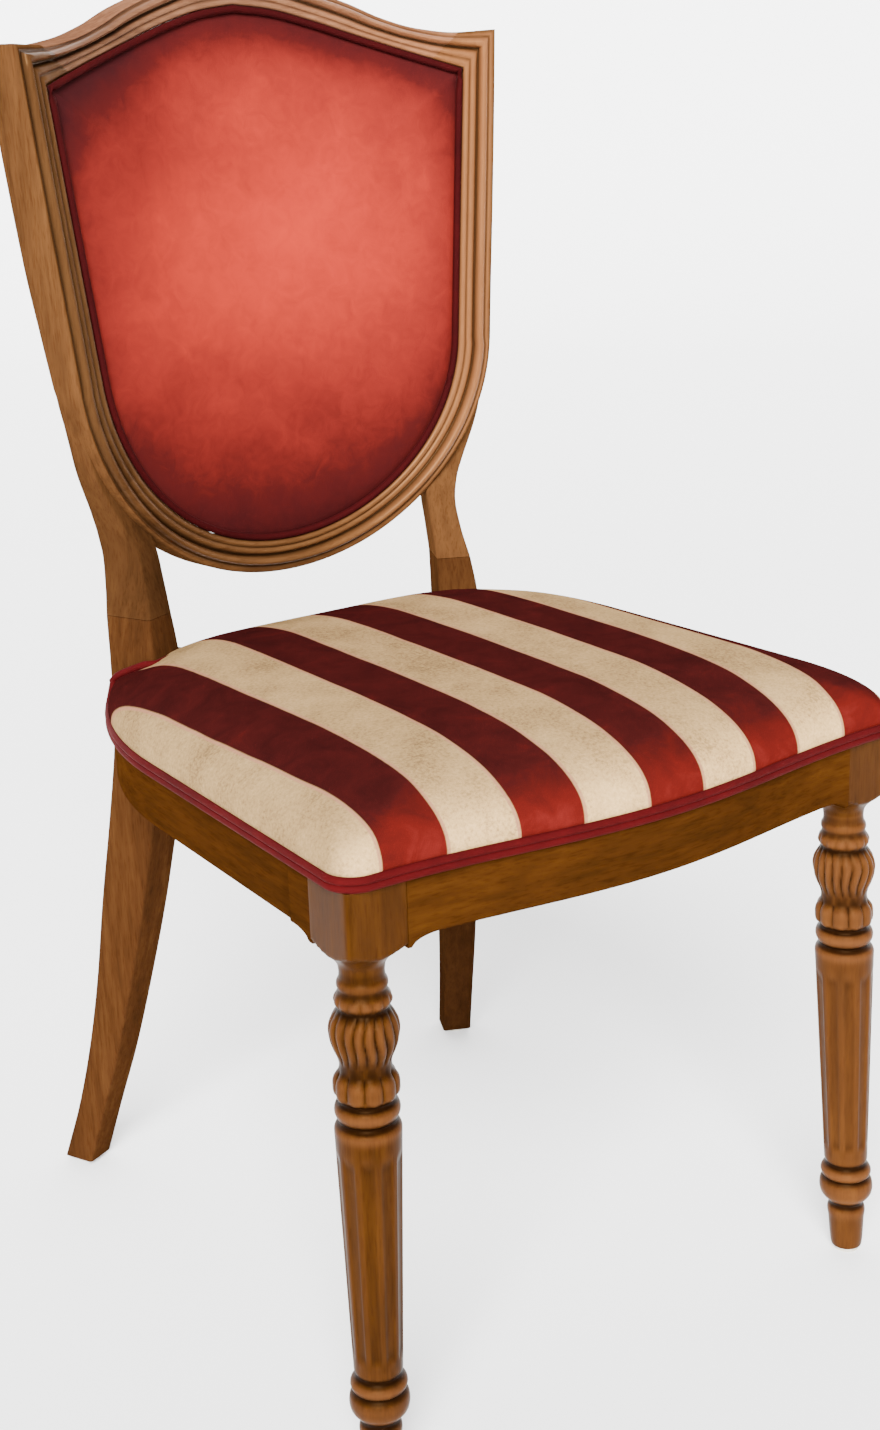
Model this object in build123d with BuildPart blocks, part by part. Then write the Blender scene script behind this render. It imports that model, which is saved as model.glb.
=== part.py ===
from build123d import *
from math import acos, atan2, cos, radians, sin, sqrt, tan
import os

os.makedirs("parts", exist_ok=True)

# Driving dimensions, millimetres. +Z is up, the chair faces -Y, x = 0 is its middle plane.
# Seat frame
seat_rail_top = 452.0       # top of the seat rails above the floor
rail_height = 43.5
rail_thickness = 24.0
rear_rail_thickness = 22.0
front_bow = 22.0            # how far the front rail swells forward of the leg blocks
bow_fade = 400.0            # the swell is gone when the outline is drawn in this far
seat_corner_radius = 28.0   # rounded front corners of the seat
side_taper = 11.0           # how far each side rail runs in before it curves
side_straight = 260.0       # where that curve starts, behind the front leg axis
bracket_drop = 7.0          # small curved bracket under a rail, beside a leg block
bracket_length = 22.0
bracket_foot = 6.6          # flat lower end of a bracket
side_end_inset = 3.0        # end of a side rail before the back of a post
rear_overhang = 2.0         # seat edge behind the rear rail
side_joint_share = 0.62     # side rail's dowels along a post's depth
side_joint_turn = 20.0      # their turn beyond that of the post

# Front legs, turned, with a square block at the head
front_leg_x = 223.0
front_leg_y = -239.55
front_leg_splay = 1.3       # degrees that the turned leg leans outwards
front_leg_rake = 1.65       # degrees that it leans forwards
leg_block = 50.0
block_bottom = 388.0
block_cove = 20.0           # height over which the square runs into the round
foot_diameter = 25.0
foot_top_diameter = 30.5
foot_top = 38.5
ankle_diameter = 43.0
ankle_bottom = 47.0
ankle_top = 77.0
ankle_groove_diameter = 26.0
shaft_bottom = 84.0
shaft_bottom_diameter = 34.0
shaft_top = 275.5
shaft_top_diameter = 46.0
bell_top = 294.0
bell_diameter = 44.0
bell_groove_diameter = 36.0
crown_top = 315.0
crown_diameter = 45.0
waist_diameter = 32.0
bulb_bottom = 320.0
bulb_top = 358.5
bulb_diameter = 50.0
ring_top = 370.0
ring_diameter = 42.0
ring_groove_diameter = 38.0
neck_height = 376.0
neck_diameter = 31.0
collar_bottom = 380.0
collar_diameter = 34.0
collar_groove_diameter = 32.0

# Rear legs and back stiles: boards turned outwards, sawn to a curve on two faces
post_turn = 25.0            # how far each board is turned about the vertical
post_x = 164.0              # front outer corner of the leg at the seat
post_setback = 391.0        # that corner behind the front leg axis
post_depth = 45.0
post_width = 38.0
shoulder_rise = 74.0        # joint between leg and stile, above the seat rails
shoulder_lean = 7.0         # how far the front edge has moved back at that joint
shoulder_inset = 8.5        # how far the outer edge has moved in at that joint
rear_foot_sweep = 116.5     # front of the foot behind the front of the leg at the seat
rear_foot_depth = 30.0
rear_foot_width = 28.0
sabre_middle = 200.0        # half way down the sabre curve
sabre_middle_sweep = 51.5   # front edge there
sabre_middle_depth = 38.5
sabre_start = 446.0         # height where the sabre curve leaves the straight head
taper_start = 405.0         # height where the inner face starts to run in

# Shield back: a hollow, leaning frame round an upholstered panel
back_radius = 430.0         # hollow of the back in plan
back_slope = 0.095          # backward lean
frame_thickness = 26.0
frame_width = 26.0          # moulded face round the panel
lower_edge_radius = 228.0   # lower edge of the shield
shield_radius = 172.0       # round lower edge of the panel
shield_corner_x = 192.0
shield_side = 379.0         # upper corners of the panel above its lowest point
crest_rise = 55.5           # its peak above those corners
peak_half_width = 50.0      # where the top edge turns from round to hollow
peak_drop = 9.0
ear_rise = 28.5             # top of the ears above the corners of the panel
ear_reach = 34.0            # outer edge of the ear beyond the leg's outer face
ear_lean = 56.6
ear_depth = 30.0
waist_rise = 52.0           # slimmest part of the post, above the joint at the shoulder
waist_overlap = 17.0        # that part above the panel's lowest point
waist_inset = 17.0
waist_inner = 43.0          # inner edge of the stile, in from the leg's outer face
waist_lean = 21.0
waist_depth = 40.0
hip_rise = 62.0             # where the stile widens, above the waist
hip_reach = 9.5             # outer edge of the stile beyond the leg's outer face
hip_lean = 32.0
hip_depth = 26.0
flank_share = 0.347         # place of the flank between hip and ear
flank_reach = 21.0          # outer edge of the stile there
flank_lean = 40.5
flank_depth = 29.0
stile_head = 77.0           # straight inner edge of the stile's blank below the ear
stile_hip = 20.0            # and above the hip
shield_rail_lap = 10.0      # blank of the shield rail above the hip
shield_rail_inset = 9.0     # and in from the legs' outer corners
crest_joint_inset = 24.0    # joint between stile and crest, in from the leg's outer face
ledge_width = 8.0           # lip that the back panel lies against
pocket_depth = 14.0

# Upholstery
board_thickness = 12.0
board_inset = 2.3
welt_width = 11.0
welt_height = 9.0
welt_overhang = 9.0
pad_crown = 51.0            # top of the seat above the welt
pad_bulge = 3.0
pad_insets = (-1.5, 3.0, 14.0, 40.0, 80.0, 125.0)    # outlines of the dome, in from the welt
pad_reach = 170.0           # the dome is level this far in
dome_power = 2.5
cover_thickness = 2.0
panel_thickness = 4.0
piping_width = 6.0
piping_proud = 3.0
back_crown = 9.0
outer_back_thickness = 4.0
outer_back_recess = 3.0
dust_cover_thickness = 1.0
dust_cover_inset = 25.0

# Fastenings
dowel_diameter = 8.0
dowel_length = 36.0
rail_dowel_spacing = 18.0
crest_dowel_spacing = 12.0
crest_dowel_forward = 2.3   # crest dowels, forward of the middle of the ledge
lower_dowel_forward = 11.0  # and the shield rail's, whose stile stands further back
corner_block_height = 32.0
corner_block_drop = 5.0     # top of the corner blocks below the top of the rails
corner_block_reach = 34.0
screw_diameter = 5.0
screw_head_diameter = 9.0
screw_head_height = 3.0
seat_screw_bite = 8.0       # how far a seat screw enters the board
leg_screw_length = 55.0
glide_diameter = 20.0
glide_height = 4.0
glide_pin_diameter = 3.0
glide_pin_length = 15.0
fit_gap = 0.3               # room left between upholstery and wood

# Derived places
block_half = leg_block / 2
block_back = front_leg_y + block_half
seat_half_width = front_leg_x + block_half
seat_front = front_leg_y - block_half
rail_bottom = seat_rail_top - rail_height
rail_middle = seat_rail_top - rail_height / 2
board_top = seat_rail_top + board_thickness
welt_top = seat_rail_top + welt_height
post_shoulder = seat_rail_top + shoulder_rise
waist_height = post_shoulder + waist_rise
hip_height = waist_height + hip_rise
shield_bottom = waist_height - waist_overlap
shield_corner_z = shield_bottom + shield_side
shield_peak = shield_corner_z + crest_rise
ear_top = shield_corner_z + ear_rise
flank_height = hip_height + flank_share * (ear_top - hip_height)
shield_rail_half = post_x - shield_rail_inset
post_origin = Vector(post_x, front_leg_y + post_setback)
along = Vector(sin(radians(post_turn)), cos(radians(post_turn)))      # backwards along a post's depth
across = Vector(-cos(radians(post_turn)), sin(radians(post_turn)))    # inwards across a post's width


def post_point(depth, inset):
    """Plan position on the right-hand post, from its front outer corner at the seat."""
    return post_origin + along * depth + across * inset


def save(piece, node):
    piece.label = node
    export_step(piece, f"parts/{node}.step")


# Planes of the right-hand post: one across its depth, one across its width
post_base = Vector(post_origin.X, post_origin.Y, 0)
post_side = Plane(origin=post_base, x_dir=(along.X, along.Y, 0), z_dir=(-across.X, -across.Y, 0))
post_front = Plane(origin=post_base, x_dir=(-across.X, -across.Y, 0), z_dir=(-along.X, -along.Y, 0))
post_sweep = 200.0          # more than any post is deep or wide

# Rear rail, square to the middle plane, let in between the rear legs
rear_joint = post_point(post_depth / 2, post_width)
rear_rail_back = rear_joint.Y + rear_rail_thickness / 2
seat_rear = rear_rail_back + rear_overhang
side_rear_corner = post_point(post_depth - side_end_inset, 0)
corner_draw = Vector(-0.66, -0.95)    # way this corner moves when the outline is drawn in
rear_corner_cut = 16.0
swell_share = 0.878                   # height of the front's swell half way along its arc


def seat_wire(inset):
    """Plan outline of the seat, drawn in by inset; all outlines have the same run of edges."""
    radius = seat_corner_radius + 0.5 * inset
    half = seat_half_width - inset
    front = seat_front + inset
    bow = front_bow * (1 - inset / bow_fade)
    start = half - radius
    side_end = side_rear_corner + corner_draw * inset
    rear_x = side_end.X - rear_corner_cut
    rear_y = seat_rear - inset
    with BuildLine() as outline:
        swell = ThreePointArc((0, front - bow), (start / 4, front - swell_share * bow), (start / 2, front - bow / 2))
        TangentArc(swell @ 1, (start, front), tangent=swell % 1)
        TangentArc((start, front), (half, front + radius), tangent=(1, 0))
        straight = Line((half, front + radius), (half - side_taper, front_leg_y + side_straight))
        TangentArc(straight @ 1, (side_end.X, side_end.Y), tangent=straight % 1)
        Line((side_end.X, side_end.Y), (rear_x, rear_y))
        Line((rear_x, rear_y), (0, rear_y))
        mirror(about=Plane.YZ)
    return outline.line


def seat_slab(inset, bottom, top):
    """Solid of the seat outline between two heights."""
    with BuildPart() as slab:
        with BuildSketch(Plane.XY.offset(bottom)):
            with BuildLine():
                add(seat_wire(inset))
            make_face()
        extrude(amount=top - bottom)
    return slab.part


def both_sides(piece):
    """A right-hand solid together with its mirror image."""
    with BuildPart() as pair:
        add(piece)
        mirror(piece, about=Plane.YZ)
    return pair.part


def mirrored(plane):
    """The left-hand plane that matches a right-hand one, facing outwards too."""
    place = plane.origin
    normal = plane.z_dir
    return Plane(origin=(-place.X, place.Y, place.Z), z_dir=(-normal.X, normal.Y, normal.Z))


def dowels(joint, spacing, way=(0, 1)):
    """Two dowels through a joint plane, half in each piece."""
    with BuildPart() as pair:
        for step in (-spacing / 2, spacing / 2):
            with BuildSketch(joint.offset(-dowel_length / 2)):
                with Locations((way[0] * step, way[1] * step)):
                    Circle(dowel_diameter / 2)
        extrude(amount=dowel_length)
    return pair.part


# Dowels of the right-hand joints
front_rail_joint = Plane(
    origin=(front_leg_x - block_half, seat_front + rail_thickness / 2, rail_middle),
    x_dir=(0, 1, 0), z_dir=(1, 0, 0))
side_front_joint = Plane(
    origin=(seat_half_width - rail_thickness / 2, block_back, rail_middle),
    x_dir=(-1, 0, 0), z_dir=(0, 1, 0))
side_rear_seat = post_point(post_depth * side_joint_share, 0)
side_rear_turn = radians(post_turn + side_joint_turn)
side_rear_joint = Plane(
    origin=(side_rear_seat.X, side_rear_seat.Y, rail_middle),
    x_dir=(sin(side_rear_turn), cos(side_rear_turn), 0),
    z_dir=(cos(side_rear_turn), -sin(side_rear_turn), 0))
rear_rail_joint = Plane(origin=(rear_joint.X, rear_joint.Y, rail_middle), x_dir=(0, 1, 0), z_dir=(1, 0, 0))
shoulder_seat = post_point(shoulder_lean + post_depth / 2, (shoulder_inset + post_width) / 2)
shoulder_joint = Plane(
    origin=(shoulder_seat.X, shoulder_seat.Y, post_shoulder),
    x_dir=(along.X, along.Y, 0), z_dir=(0, 0, 1))
front_rail_dowels = dowels(front_rail_joint, rail_dowel_spacing)
side_front_dowels = dowels(side_front_joint, rail_dowel_spacing)
side_rear_dowels = dowels(side_rear_joint, rail_dowel_spacing)
rear_rail_dowels = dowels(rear_rail_joint, rail_dowel_spacing)
shoulder_dowels = dowels(shoulder_joint, rail_dowel_spacing, way=(1, 0))


def glide(x, y):
    """Nylon glide with its driven pin, under a foot."""
    with BuildPart() as disc:
        with Locations((x, y, 0)):
            Cylinder(glide_diameter / 2, glide_height, align=(Align.CENTER, Align.CENTER, Align.MIN))
            Cylinder(glide_pin_diameter / 2, glide_height + glide_pin_length,
                     align=(Align.CENTER, Align.CENTER, Align.MIN))
    return disc.part


# Axis of the right-hand front leg, with the section that is turned about it
leg_rise = Vector(-tan(radians(front_leg_splay)), tan(radians(front_leg_rake)), 1)
leg_across = Vector(1, 0, tan(radians(front_leg_splay)))
leg_head_place = Vector(front_leg_x, front_leg_y, block_bottom)
leg_section = Plane(
    origin=leg_head_place - leg_rise.normalized() * block_bottom,
    x_dir=leg_across, z_dir=leg_across.cross(leg_rise))
front_foot = leg_head_place - leg_rise * block_bottom

rear_foot = post_point(rear_foot_sweep + rear_foot_depth / 2, rear_foot_width / 2)
front_glide = glide(front_foot.X, front_foot.Y)
rear_glide = glide(rear_foot.X, rear_foot.Y)

# Screws through the corner blocks: one into each leg, one up into the seat board
block_top = seat_rail_top - corner_block_drop
block_floor = block_top - corner_block_height
front_inner = seat_front + rail_thickness
notch_x = front_leg_x - block_half - fit_gap
notch_y = block_back + fit_gap
rear_rail_front = rear_joint.Y - rear_rail_thickness / 2


def screw(head_plane, length):
    """Round-headed wood screw: head behind the plane, shank along its normal."""
    with BuildPart() as driven:
        with BuildSketch(head_plane):
            Circle(screw_head_diameter / 2)
        extrude(amount=-screw_head_height)
        with BuildSketch(head_plane):
            Circle(screw_diameter / 2)
        extrude(amount=length)
    return driven.part


seat_screw_length = seat_rail_top + seat_screw_bite - block_floor
front_seat_screw = screw(
    Plane(origin=(notch_x + corner_block_reach / 3, notch_y + corner_block_reach / 2, block_floor)),
    seat_screw_length)
front_leg_screw = screw(
    Plane(
        origin=(notch_x - corner_block_reach / 2, notch_y + corner_block_reach / 2, rail_middle),
        z_dir=(1, -1, 0)),
    leg_screw_length)
rear_seat_place = post_point(-corner_block_reach / 2, -corner_block_reach / 2)
rear_seat_screw = screw(
    Plane(origin=(rear_seat_place.X, rear_seat_place.Y, block_floor)), seat_screw_length)
rear_leg_place = post_point(-corner_block_reach, post_width / 2)
rear_leg_screw = screw(
    Plane(origin=(rear_leg_place.X, rear_leg_place.Y, rail_middle), z_dir=(along.X, along.Y, 0)),
    leg_screw_length)

# Head of a front leg: a square block whose lower corners run into the round
head_reach = 0.75 * leg_block      # just past the corners of the square
head_bend = collar_diameter / 2 + 0.145 * leg_block
with BuildPart() as leg_head:
    with BuildSketch(Plane.XZ):
        with BuildLine():
            Line((0, block_bottom), (collar_diameter / 2, block_bottom))
            ThreePointArc(
                (collar_diameter / 2, block_bottom),
                (head_bend, block_bottom + 0.7 * block_cove),
                (head_reach, block_bottom + block_cove))
            Line((head_reach, block_bottom + block_cove), (head_reach, seat_rail_top))
            Line((head_reach, seat_rail_top), (0, seat_rail_top))
            Line((0, seat_rail_top), (0, block_bottom))
        make_face()
    revolve(axis=Axis.Z)
    with Locations((0, 0, block_bottom)):
        Box(leg_block, leg_block, seat_rail_top - block_bottom,
            align=(Align.CENTER, Align.CENTER, Align.MIN), mode=Mode.INTERSECT)

# Front leg: turned on a leaning axis, from the floor up into the block
foot_radius = foot_diameter / 2
foot_top_radius = foot_top_diameter / 2
ankle_groove_radius = ankle_groove_diameter / 2
bell_groove_radius = bell_groove_diameter / 2
waist_radius = waist_diameter / 2
ring_groove_radius = ring_groove_diameter / 2
collar_groove_radius = collar_groove_diameter / 2
bulb_middle = 0.4 * bulb_bottom + 0.6 * bulb_top
collar_end = block_bottom + 3.0    # the turning runs this far into the block
with BuildPart() as front_leg_right:
    with BuildSketch(leg_section):
        with BuildLine():
            Line((0, 0), (foot_radius, 0))
            Line((foot_radius, 0), (foot_top_radius, foot_top))
            Line((foot_top_radius, foot_top), (ankle_groove_radius, ankle_bottom))
            ThreePointArc(
                (ankle_groove_radius, ankle_bottom),
                (ankle_diameter / 2, (ankle_bottom + ankle_top) / 2),
                (ankle_groove_radius, ankle_top))
            Line((ankle_groove_radius, ankle_top), (shaft_bottom_diameter / 2, shaft_bottom))
            Line((shaft_bottom_diameter / 2, shaft_bottom), (shaft_top_diameter / 2, shaft_top))
            Line((shaft_top_diameter / 2, shaft_top), (bell_groove_radius, shaft_top))
            ThreePointArc(
                (bell_groove_radius, shaft_top),
                (bell_diameter / 2, (shaft_top + bell_top) / 2),
                (bell_groove_radius, bell_top))
            ThreePointArc(
                (bell_groove_radius, bell_top),
                (crown_diameter / 2, (bell_top + crown_top) / 2),
                (waist_radius, crown_top))
            Line((waist_radius, crown_top), (waist_radius, bulb_bottom))
            ThreePointArc(
                (waist_radius, bulb_bottom), (bulb_diameter / 2, bulb_middle), (ring_groove_radius, bulb_top))
            ThreePointArc(
                (ring_groove_radius, bulb_top),
                (ring_diameter / 2, (bulb_top + ring_top) / 2),
                (ring_groove_radius, ring_top))
            Line((ring_groove_radius, ring_top), (neck_diameter / 2, neck_height))
            Line((neck_diameter / 2, neck_height), (collar_groove_radius, collar_bottom))
            ThreePointArc(
                (collar_groove_radius, collar_bottom),
                (collar_diameter / 2, (collar_bottom + block_bottom) / 2),
                (collar_groove_radius, block_bottom))
            Line((collar_groove_radius, block_bottom), (collar_groove_radius, collar_end))
            Line((collar_groove_radius, collar_end), (0, collar_end))
            Line((0, collar_end), (0, 0))
        make_face()
    revolve(axis=Axis(leg_section.origin, leg_section.y_dir))
    split(bisect_by=Plane.XY.offset(glide_height), keep=Keep.TOP)
    with Locations((front_leg_x, front_leg_y, 0)):
        add(leg_head.part)
    add(front_rail_dowels, mode=Mode.SUBTRACT)
    add(side_front_dowels, mode=Mode.SUBTRACT)
    add(front_glide, mode=Mode.SUBTRACT)
    add(front_leg_screw, mode=Mode.SUBTRACT)

# Rear leg: sabre curve across its depth, straight taper across its width
with BuildPart() as rear_leg_right:
    with BuildSketch(post_side):
        with BuildLine():
            Line((rear_foot_sweep, glide_height), (rear_foot_sweep + rear_foot_depth, glide_height))
            Spline(
                (rear_foot_sweep + rear_foot_depth, glide_height),
                (sabre_middle_sweep + sabre_middle_depth, sabre_middle), (post_depth, sabre_start),
                tangents=[(-0.42, 1), (0, 1)])
            Line((post_depth, sabre_start), (post_depth, seat_rail_top))
            Spline(
                (post_depth, seat_rail_top), (post_depth + shoulder_lean, post_shoulder),
                tangents=[(0, 1), (0.25, 1)])
            Line((post_depth + shoulder_lean, post_shoulder), (shoulder_lean, post_shoulder))
            Spline((shoulder_lean, post_shoulder), (0, seat_rail_top), tangents=[(-0.25, -1), (0, -1)])
            Line((0, seat_rail_top), (0, sabre_start))
            Spline(
                (0, sabre_start), (sabre_middle_sweep, sabre_middle), (rear_foot_sweep, glide_height),
                tangents=[(0, -1), (0.5, -1)])
        make_face()
    extrude(amount=post_sweep, both=True)
    with BuildSketch(post_front):
        with BuildLine():
            Line((0, glide_height), (0, seat_rail_top))
            Spline((0, seat_rail_top), (-shoulder_inset, post_shoulder), tangents=[(0, 1), (-0.27, 1)])
            Line((-shoulder_inset, post_shoulder), (-post_width, post_shoulder))
            Line((-post_width, post_shoulder), (-post_width, taper_start))
            Line((-post_width, taper_start), (-rear_foot_width, glide_height))
            Line((-rear_foot_width, glide_height), (0, glide_height))
        make_face()
    extrude(amount=post_sweep, both=True, mode=Mode.INTERSECT)
    add(side_rear_dowels, mode=Mode.SUBTRACT)
    add(rear_rail_dowels, mode=Mode.SUBTRACT)
    add(shoulder_dowels, mode=Mode.SUBTRACT)
    add(rear_glide, mode=Mode.SUBTRACT)
    add(rear_leg_screw, mode=Mode.SUBTRACT)

# Seat rails, cut from one curved band and let in between the legs
rail_band_bottom = rail_bottom - bracket_drop
with BuildPart() as rail_band:
    add(seat_slab(0, rail_band_bottom, seat_rail_top))
    add(seat_slab(rail_thickness, rail_band_bottom, seat_rail_top), mode=Mode.SUBTRACT)


def bracket_profile(length):
    """Elevation of a rail from its leg block, with the small hollow bracket below it."""
    with BuildLine() as profile:
        Line((0, seat_rail_top), (0, rail_band_bottom))
        Line((0, rail_band_bottom), (bracket_foot, rail_band_bottom))
        RadiusArc((bracket_foot, rail_band_bottom), (bracket_length, rail_bottom), bracket_length)
        Line((bracket_length, rail_bottom), (length, rail_bottom))
        Line((length, rail_bottom), (length, seat_rail_top))
        Line((length, seat_rail_top), (0, seat_rail_top))
    return profile.line


rail_reach = 2 * seat_half_width + post_depth    # more than the seat is deep
front_rail_half = front_leg_x - block_half
front_rail_end = Plane(origin=(front_rail_half, block_back, 0), x_dir=(-1, 0, 0), z_dir=(0, 1, 0))
side_rail_end = Plane(origin=(0, block_back, 0), x_dir=(0, 1, 0), z_dir=(1, 0, 0))
leg_outer_face = Plane(origin=post_base, z_dir=(-across.X, -across.Y, 0))
leg_inner_seat = post_point(0, post_width)
leg_inner_face = Plane(origin=(leg_inner_seat.X, leg_inner_seat.Y, 0), z_dir=(across.X, across.Y, 0))

with BuildPart() as front_rail:
    with BuildSketch(front_rail_end):
        with BuildLine():
            add(bracket_profile(front_rail_half))
        make_face()
    extrude(amount=-rail_reach)
    mirror(about=Plane.YZ)
    add(rail_band.part, mode=Mode.INTERSECT)
    add(both_sides(front_rail_dowels), mode=Mode.SUBTRACT)

with BuildPart() as side_rail_right:
    with BuildSketch(side_rail_end):
        with BuildLine():
            add(bracket_profile(rail_reach))
        make_face()
    extrude(amount=rail_reach)
    add(rail_band.part, mode=Mode.INTERSECT)
    split(bisect_by=leg_outer_face, keep=Keep.TOP)
    add(side_front_dowels, mode=Mode.SUBTRACT)
    add(side_rear_dowels, mode=Mode.SUBTRACT)

with BuildPart() as rear_rail:
    with Locations((0, rear_joint.Y, rail_middle)):
        Box(2 * post_x, rear_rail_thickness, rail_height)
    split(bisect_by=leg_inner_face, keep=Keep.TOP)
    split(bisect_by=mirrored(leg_inner_face), keep=Keep.TOP)
    add(both_sides(rear_rail_dowels), mode=Mode.SUBTRACT)

# Corner blocks behind the legs
with BuildPart() as front_corner_right:
    with BuildSketch(Plane.XY.offset(block_floor)):
        with BuildLine():
            Polyline(
                (notch_x - corner_block_reach, seat_front + rail_thickness / 2),
                (notch_x, seat_front + rail_thickness / 2),
                (notch_x, notch_y),
                (seat_half_width - rail_thickness / 2, notch_y),
                (seat_half_width - rail_thickness / 2, notch_y + corner_block_reach),
                (notch_x, notch_y + corner_block_reach),
                (notch_x - corner_block_reach, notch_y),
                close=True)
        make_face()
    extrude(amount=corner_block_height)
    add(rail_band.part, mode=Mode.SUBTRACT)
    add(front_seat_screw, mode=Mode.SUBTRACT)
    add(front_leg_screw, mode=Mode.SUBTRACT)

rear_block_points = [
    post_point(-corner_block_reach, 1.5 * post_width),
    Vector(post_point(-corner_block_reach, 1.5 * post_width).X, rear_rail_front - fit_gap),
    Vector(post_point(post_depth / 4, post_width + fit_gap).X, rear_rail_front - fit_gap),
    post_point(-fit_gap, post_width + fit_gap),
    post_point(-fit_gap, -fit_gap),
    post_point(post_depth / 2, -fit_gap),
    post_point(-corner_block_reach, -2 * corner_block_reach),
]
with BuildPart() as rear_corner_right:
    with BuildSketch(Plane.XY.offset(block_floor)):
        with BuildLine():
            Polyline(*rear_block_points, close=True)
        make_face()
    extrude(amount=corner_block_height)
    add(rail_band.part, mode=Mode.SUBTRACT)
    add(rear_leg_right.part, mode=Mode.SUBTRACT)
    add(rear_seat_screw, mode=Mode.SUBTRACT)
    add(rear_leg_screw, mode=Mode.SUBTRACT)

# Shield back: solids bounded by the hollow of the back and by the shield's outline
corner_lean = ear_lean - ear_rise * back_slope
corner_seat = post_point(corner_lean, 0)
corner_inset = (shield_corner_x - corner_seat.X) / across.X
corner_sag = back_radius - sqrt(back_radius**2 - shield_corner_x**2)
back_level = shield_corner_z
back_front_y = post_point(corner_lean, corner_inset).Y + corner_sag
back_plane = Plane(origin=(0, back_front_y, back_level), x_dir=(1, 0, 0), z_dir=(0, back_slope, 1))
back_reach = 150.0          # prisms of the outline run this far before and behind the back
back_rise = 500.0           # the hollow runs this far above and below back_level
shield_center = shield_bottom + shield_radius


def hollow_core(depth):
    """Everything in front of the surface that lies depth behind the hollow front of the back."""
    with BuildPart() as core:
        with BuildSketch(back_plane):
            with Locations((0, -back_radius)):
                Circle(back_radius + depth)
        extrude(amount=back_rise, both=True)
    return core.part


def shield_prism(grow):
    """The panel's outline, grown all round, run straight through the back."""
    radius = shield_radius + grow
    corner = Vector(shield_corner_x + grow, shield_corner_z + grow)
    reach = corner - Vector(0, shield_center)
    tangent_angle = atan2(reach.Y, reach.X) - acos(radius / reach.length)
    tangent = Vector(radius * cos(tangent_angle), shield_center + radius * sin(tangent_angle))
    peak = shield_peak + grow
    with BuildPart() as prism:
        with BuildSketch(Plane.XZ.offset(back_reach - back_front_y)):
            with BuildLine():
                TangentArc((0, shield_center - radius), (tangent.X, tangent.Y), tangent=(1, 0))
                Line((tangent.X, tangent.Y), (corner.X, corner.Y))
                Spline(
                    (corner.X, corner.Y), (peak_half_width, peak - peak_drop), (0, peak),
                    tangents=[(-1, 0.32), (-1, 0)])
                mirror(about=Plane.YZ)
            make_face()
        extrude(amount=-2 * back_reach)
    return prism.part


back_opening = shield_prism(-ledge_width)
panel_prism = shield_prism(-fit_gap)
with BuildPart() as back_pocket:
    add(shield_prism(0))
    add(hollow_core(pocket_depth), mode=Mode.INTERSECT)
with BuildPart() as frame_slab:
    add(hollow_core(frame_thickness))
    add(hollow_core(0), mode=Mode.SUBTRACT)

# Dowels of the shield's joints, behind the pocket
joint_depth = (pocket_depth + frame_thickness) / 2
crest_joint_place = post_point(ear_lean + joint_depth - crest_dowel_forward, crest_joint_inset)
crest_joint = Plane(
    origin=(crest_joint_place.X, crest_joint_place.Y, (shield_corner_z + ear_top) / 2),
    x_dir=(along.X, along.Y, 0), z_dir=(-across.X, -across.Y, 0))
lower_joint_place = post_point(hip_lean + joint_depth - lower_dowel_forward, waist_inner)
lower_joint = Plane(
    origin=(lower_joint_place.X, lower_joint_place.Y, (waist_height + hip_height) / 2),
    x_dir=(along.X, along.Y, 0), z_dir=(-across.X, -across.Y, 0))
crest_dowels = dowels(crest_joint, crest_dowel_spacing)
lower_dowels = dowels(lower_joint, rail_dowel_spacing)

with BuildPart() as back_stile_right:
    with BuildSketch(post_side):
        with BuildLine():
            Spline(
                (shoulder_lean, post_shoulder), (waist_lean, waist_height), (hip_lean, hip_height),
                (flank_lean, flank_height), (ear_lean, ear_top),
                tangents=[(0.25, 1), (0.08, 1)])
            Line((ear_lean, ear_top), (ear_lean + ear_depth, ear_top))
            Spline(
                (ear_lean + ear_depth, ear_top), (flank_lean + flank_depth, flank_height),
                (hip_lean + hip_depth, hip_height), (waist_lean + waist_depth, waist_height),
                (shoulder_lean + post_depth, post_shoulder),
                tangents=[(-0.06, -1), (-0.25, -1)])
            Line((shoulder_lean + post_depth, post_shoulder), (shoulder_lean, post_shoulder))
        make_face()
    extrude(amount=post_sweep, both=True)
    with BuildSketch(post_front):
        with BuildLine():
            Spline(
                (-shoulder_inset, post_shoulder), (-waist_inset, waist_height), (hip_reach, hip_height),
                (flank_reach, flank_height), (ear_reach, ear_top))
            Polyline(
                (ear_reach, ear_top), (-crest_joint_inset, ear_top),
                (-crest_joint_inset, ear_top - stile_head), (-waist_inner, hip_height + stile_hip),
                (-waist_inner, waist_height), (-post_width, post_shoulder), (-shoulder_inset, post_shoulder))
        make_face()
    extrude(amount=post_sweep, both=True, mode=Mode.INTERSECT)
    add(back_opening, mode=Mode.SUBTRACT)
    add(back_pocket.part, mode=Mode.SUBTRACT)
    add(shoulder_dowels, mode=Mode.SUBTRACT)
    add(crest_dowels, mode=Mode.SUBTRACT)
    add(lower_dowels, mode=Mode.SUBTRACT)

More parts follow.
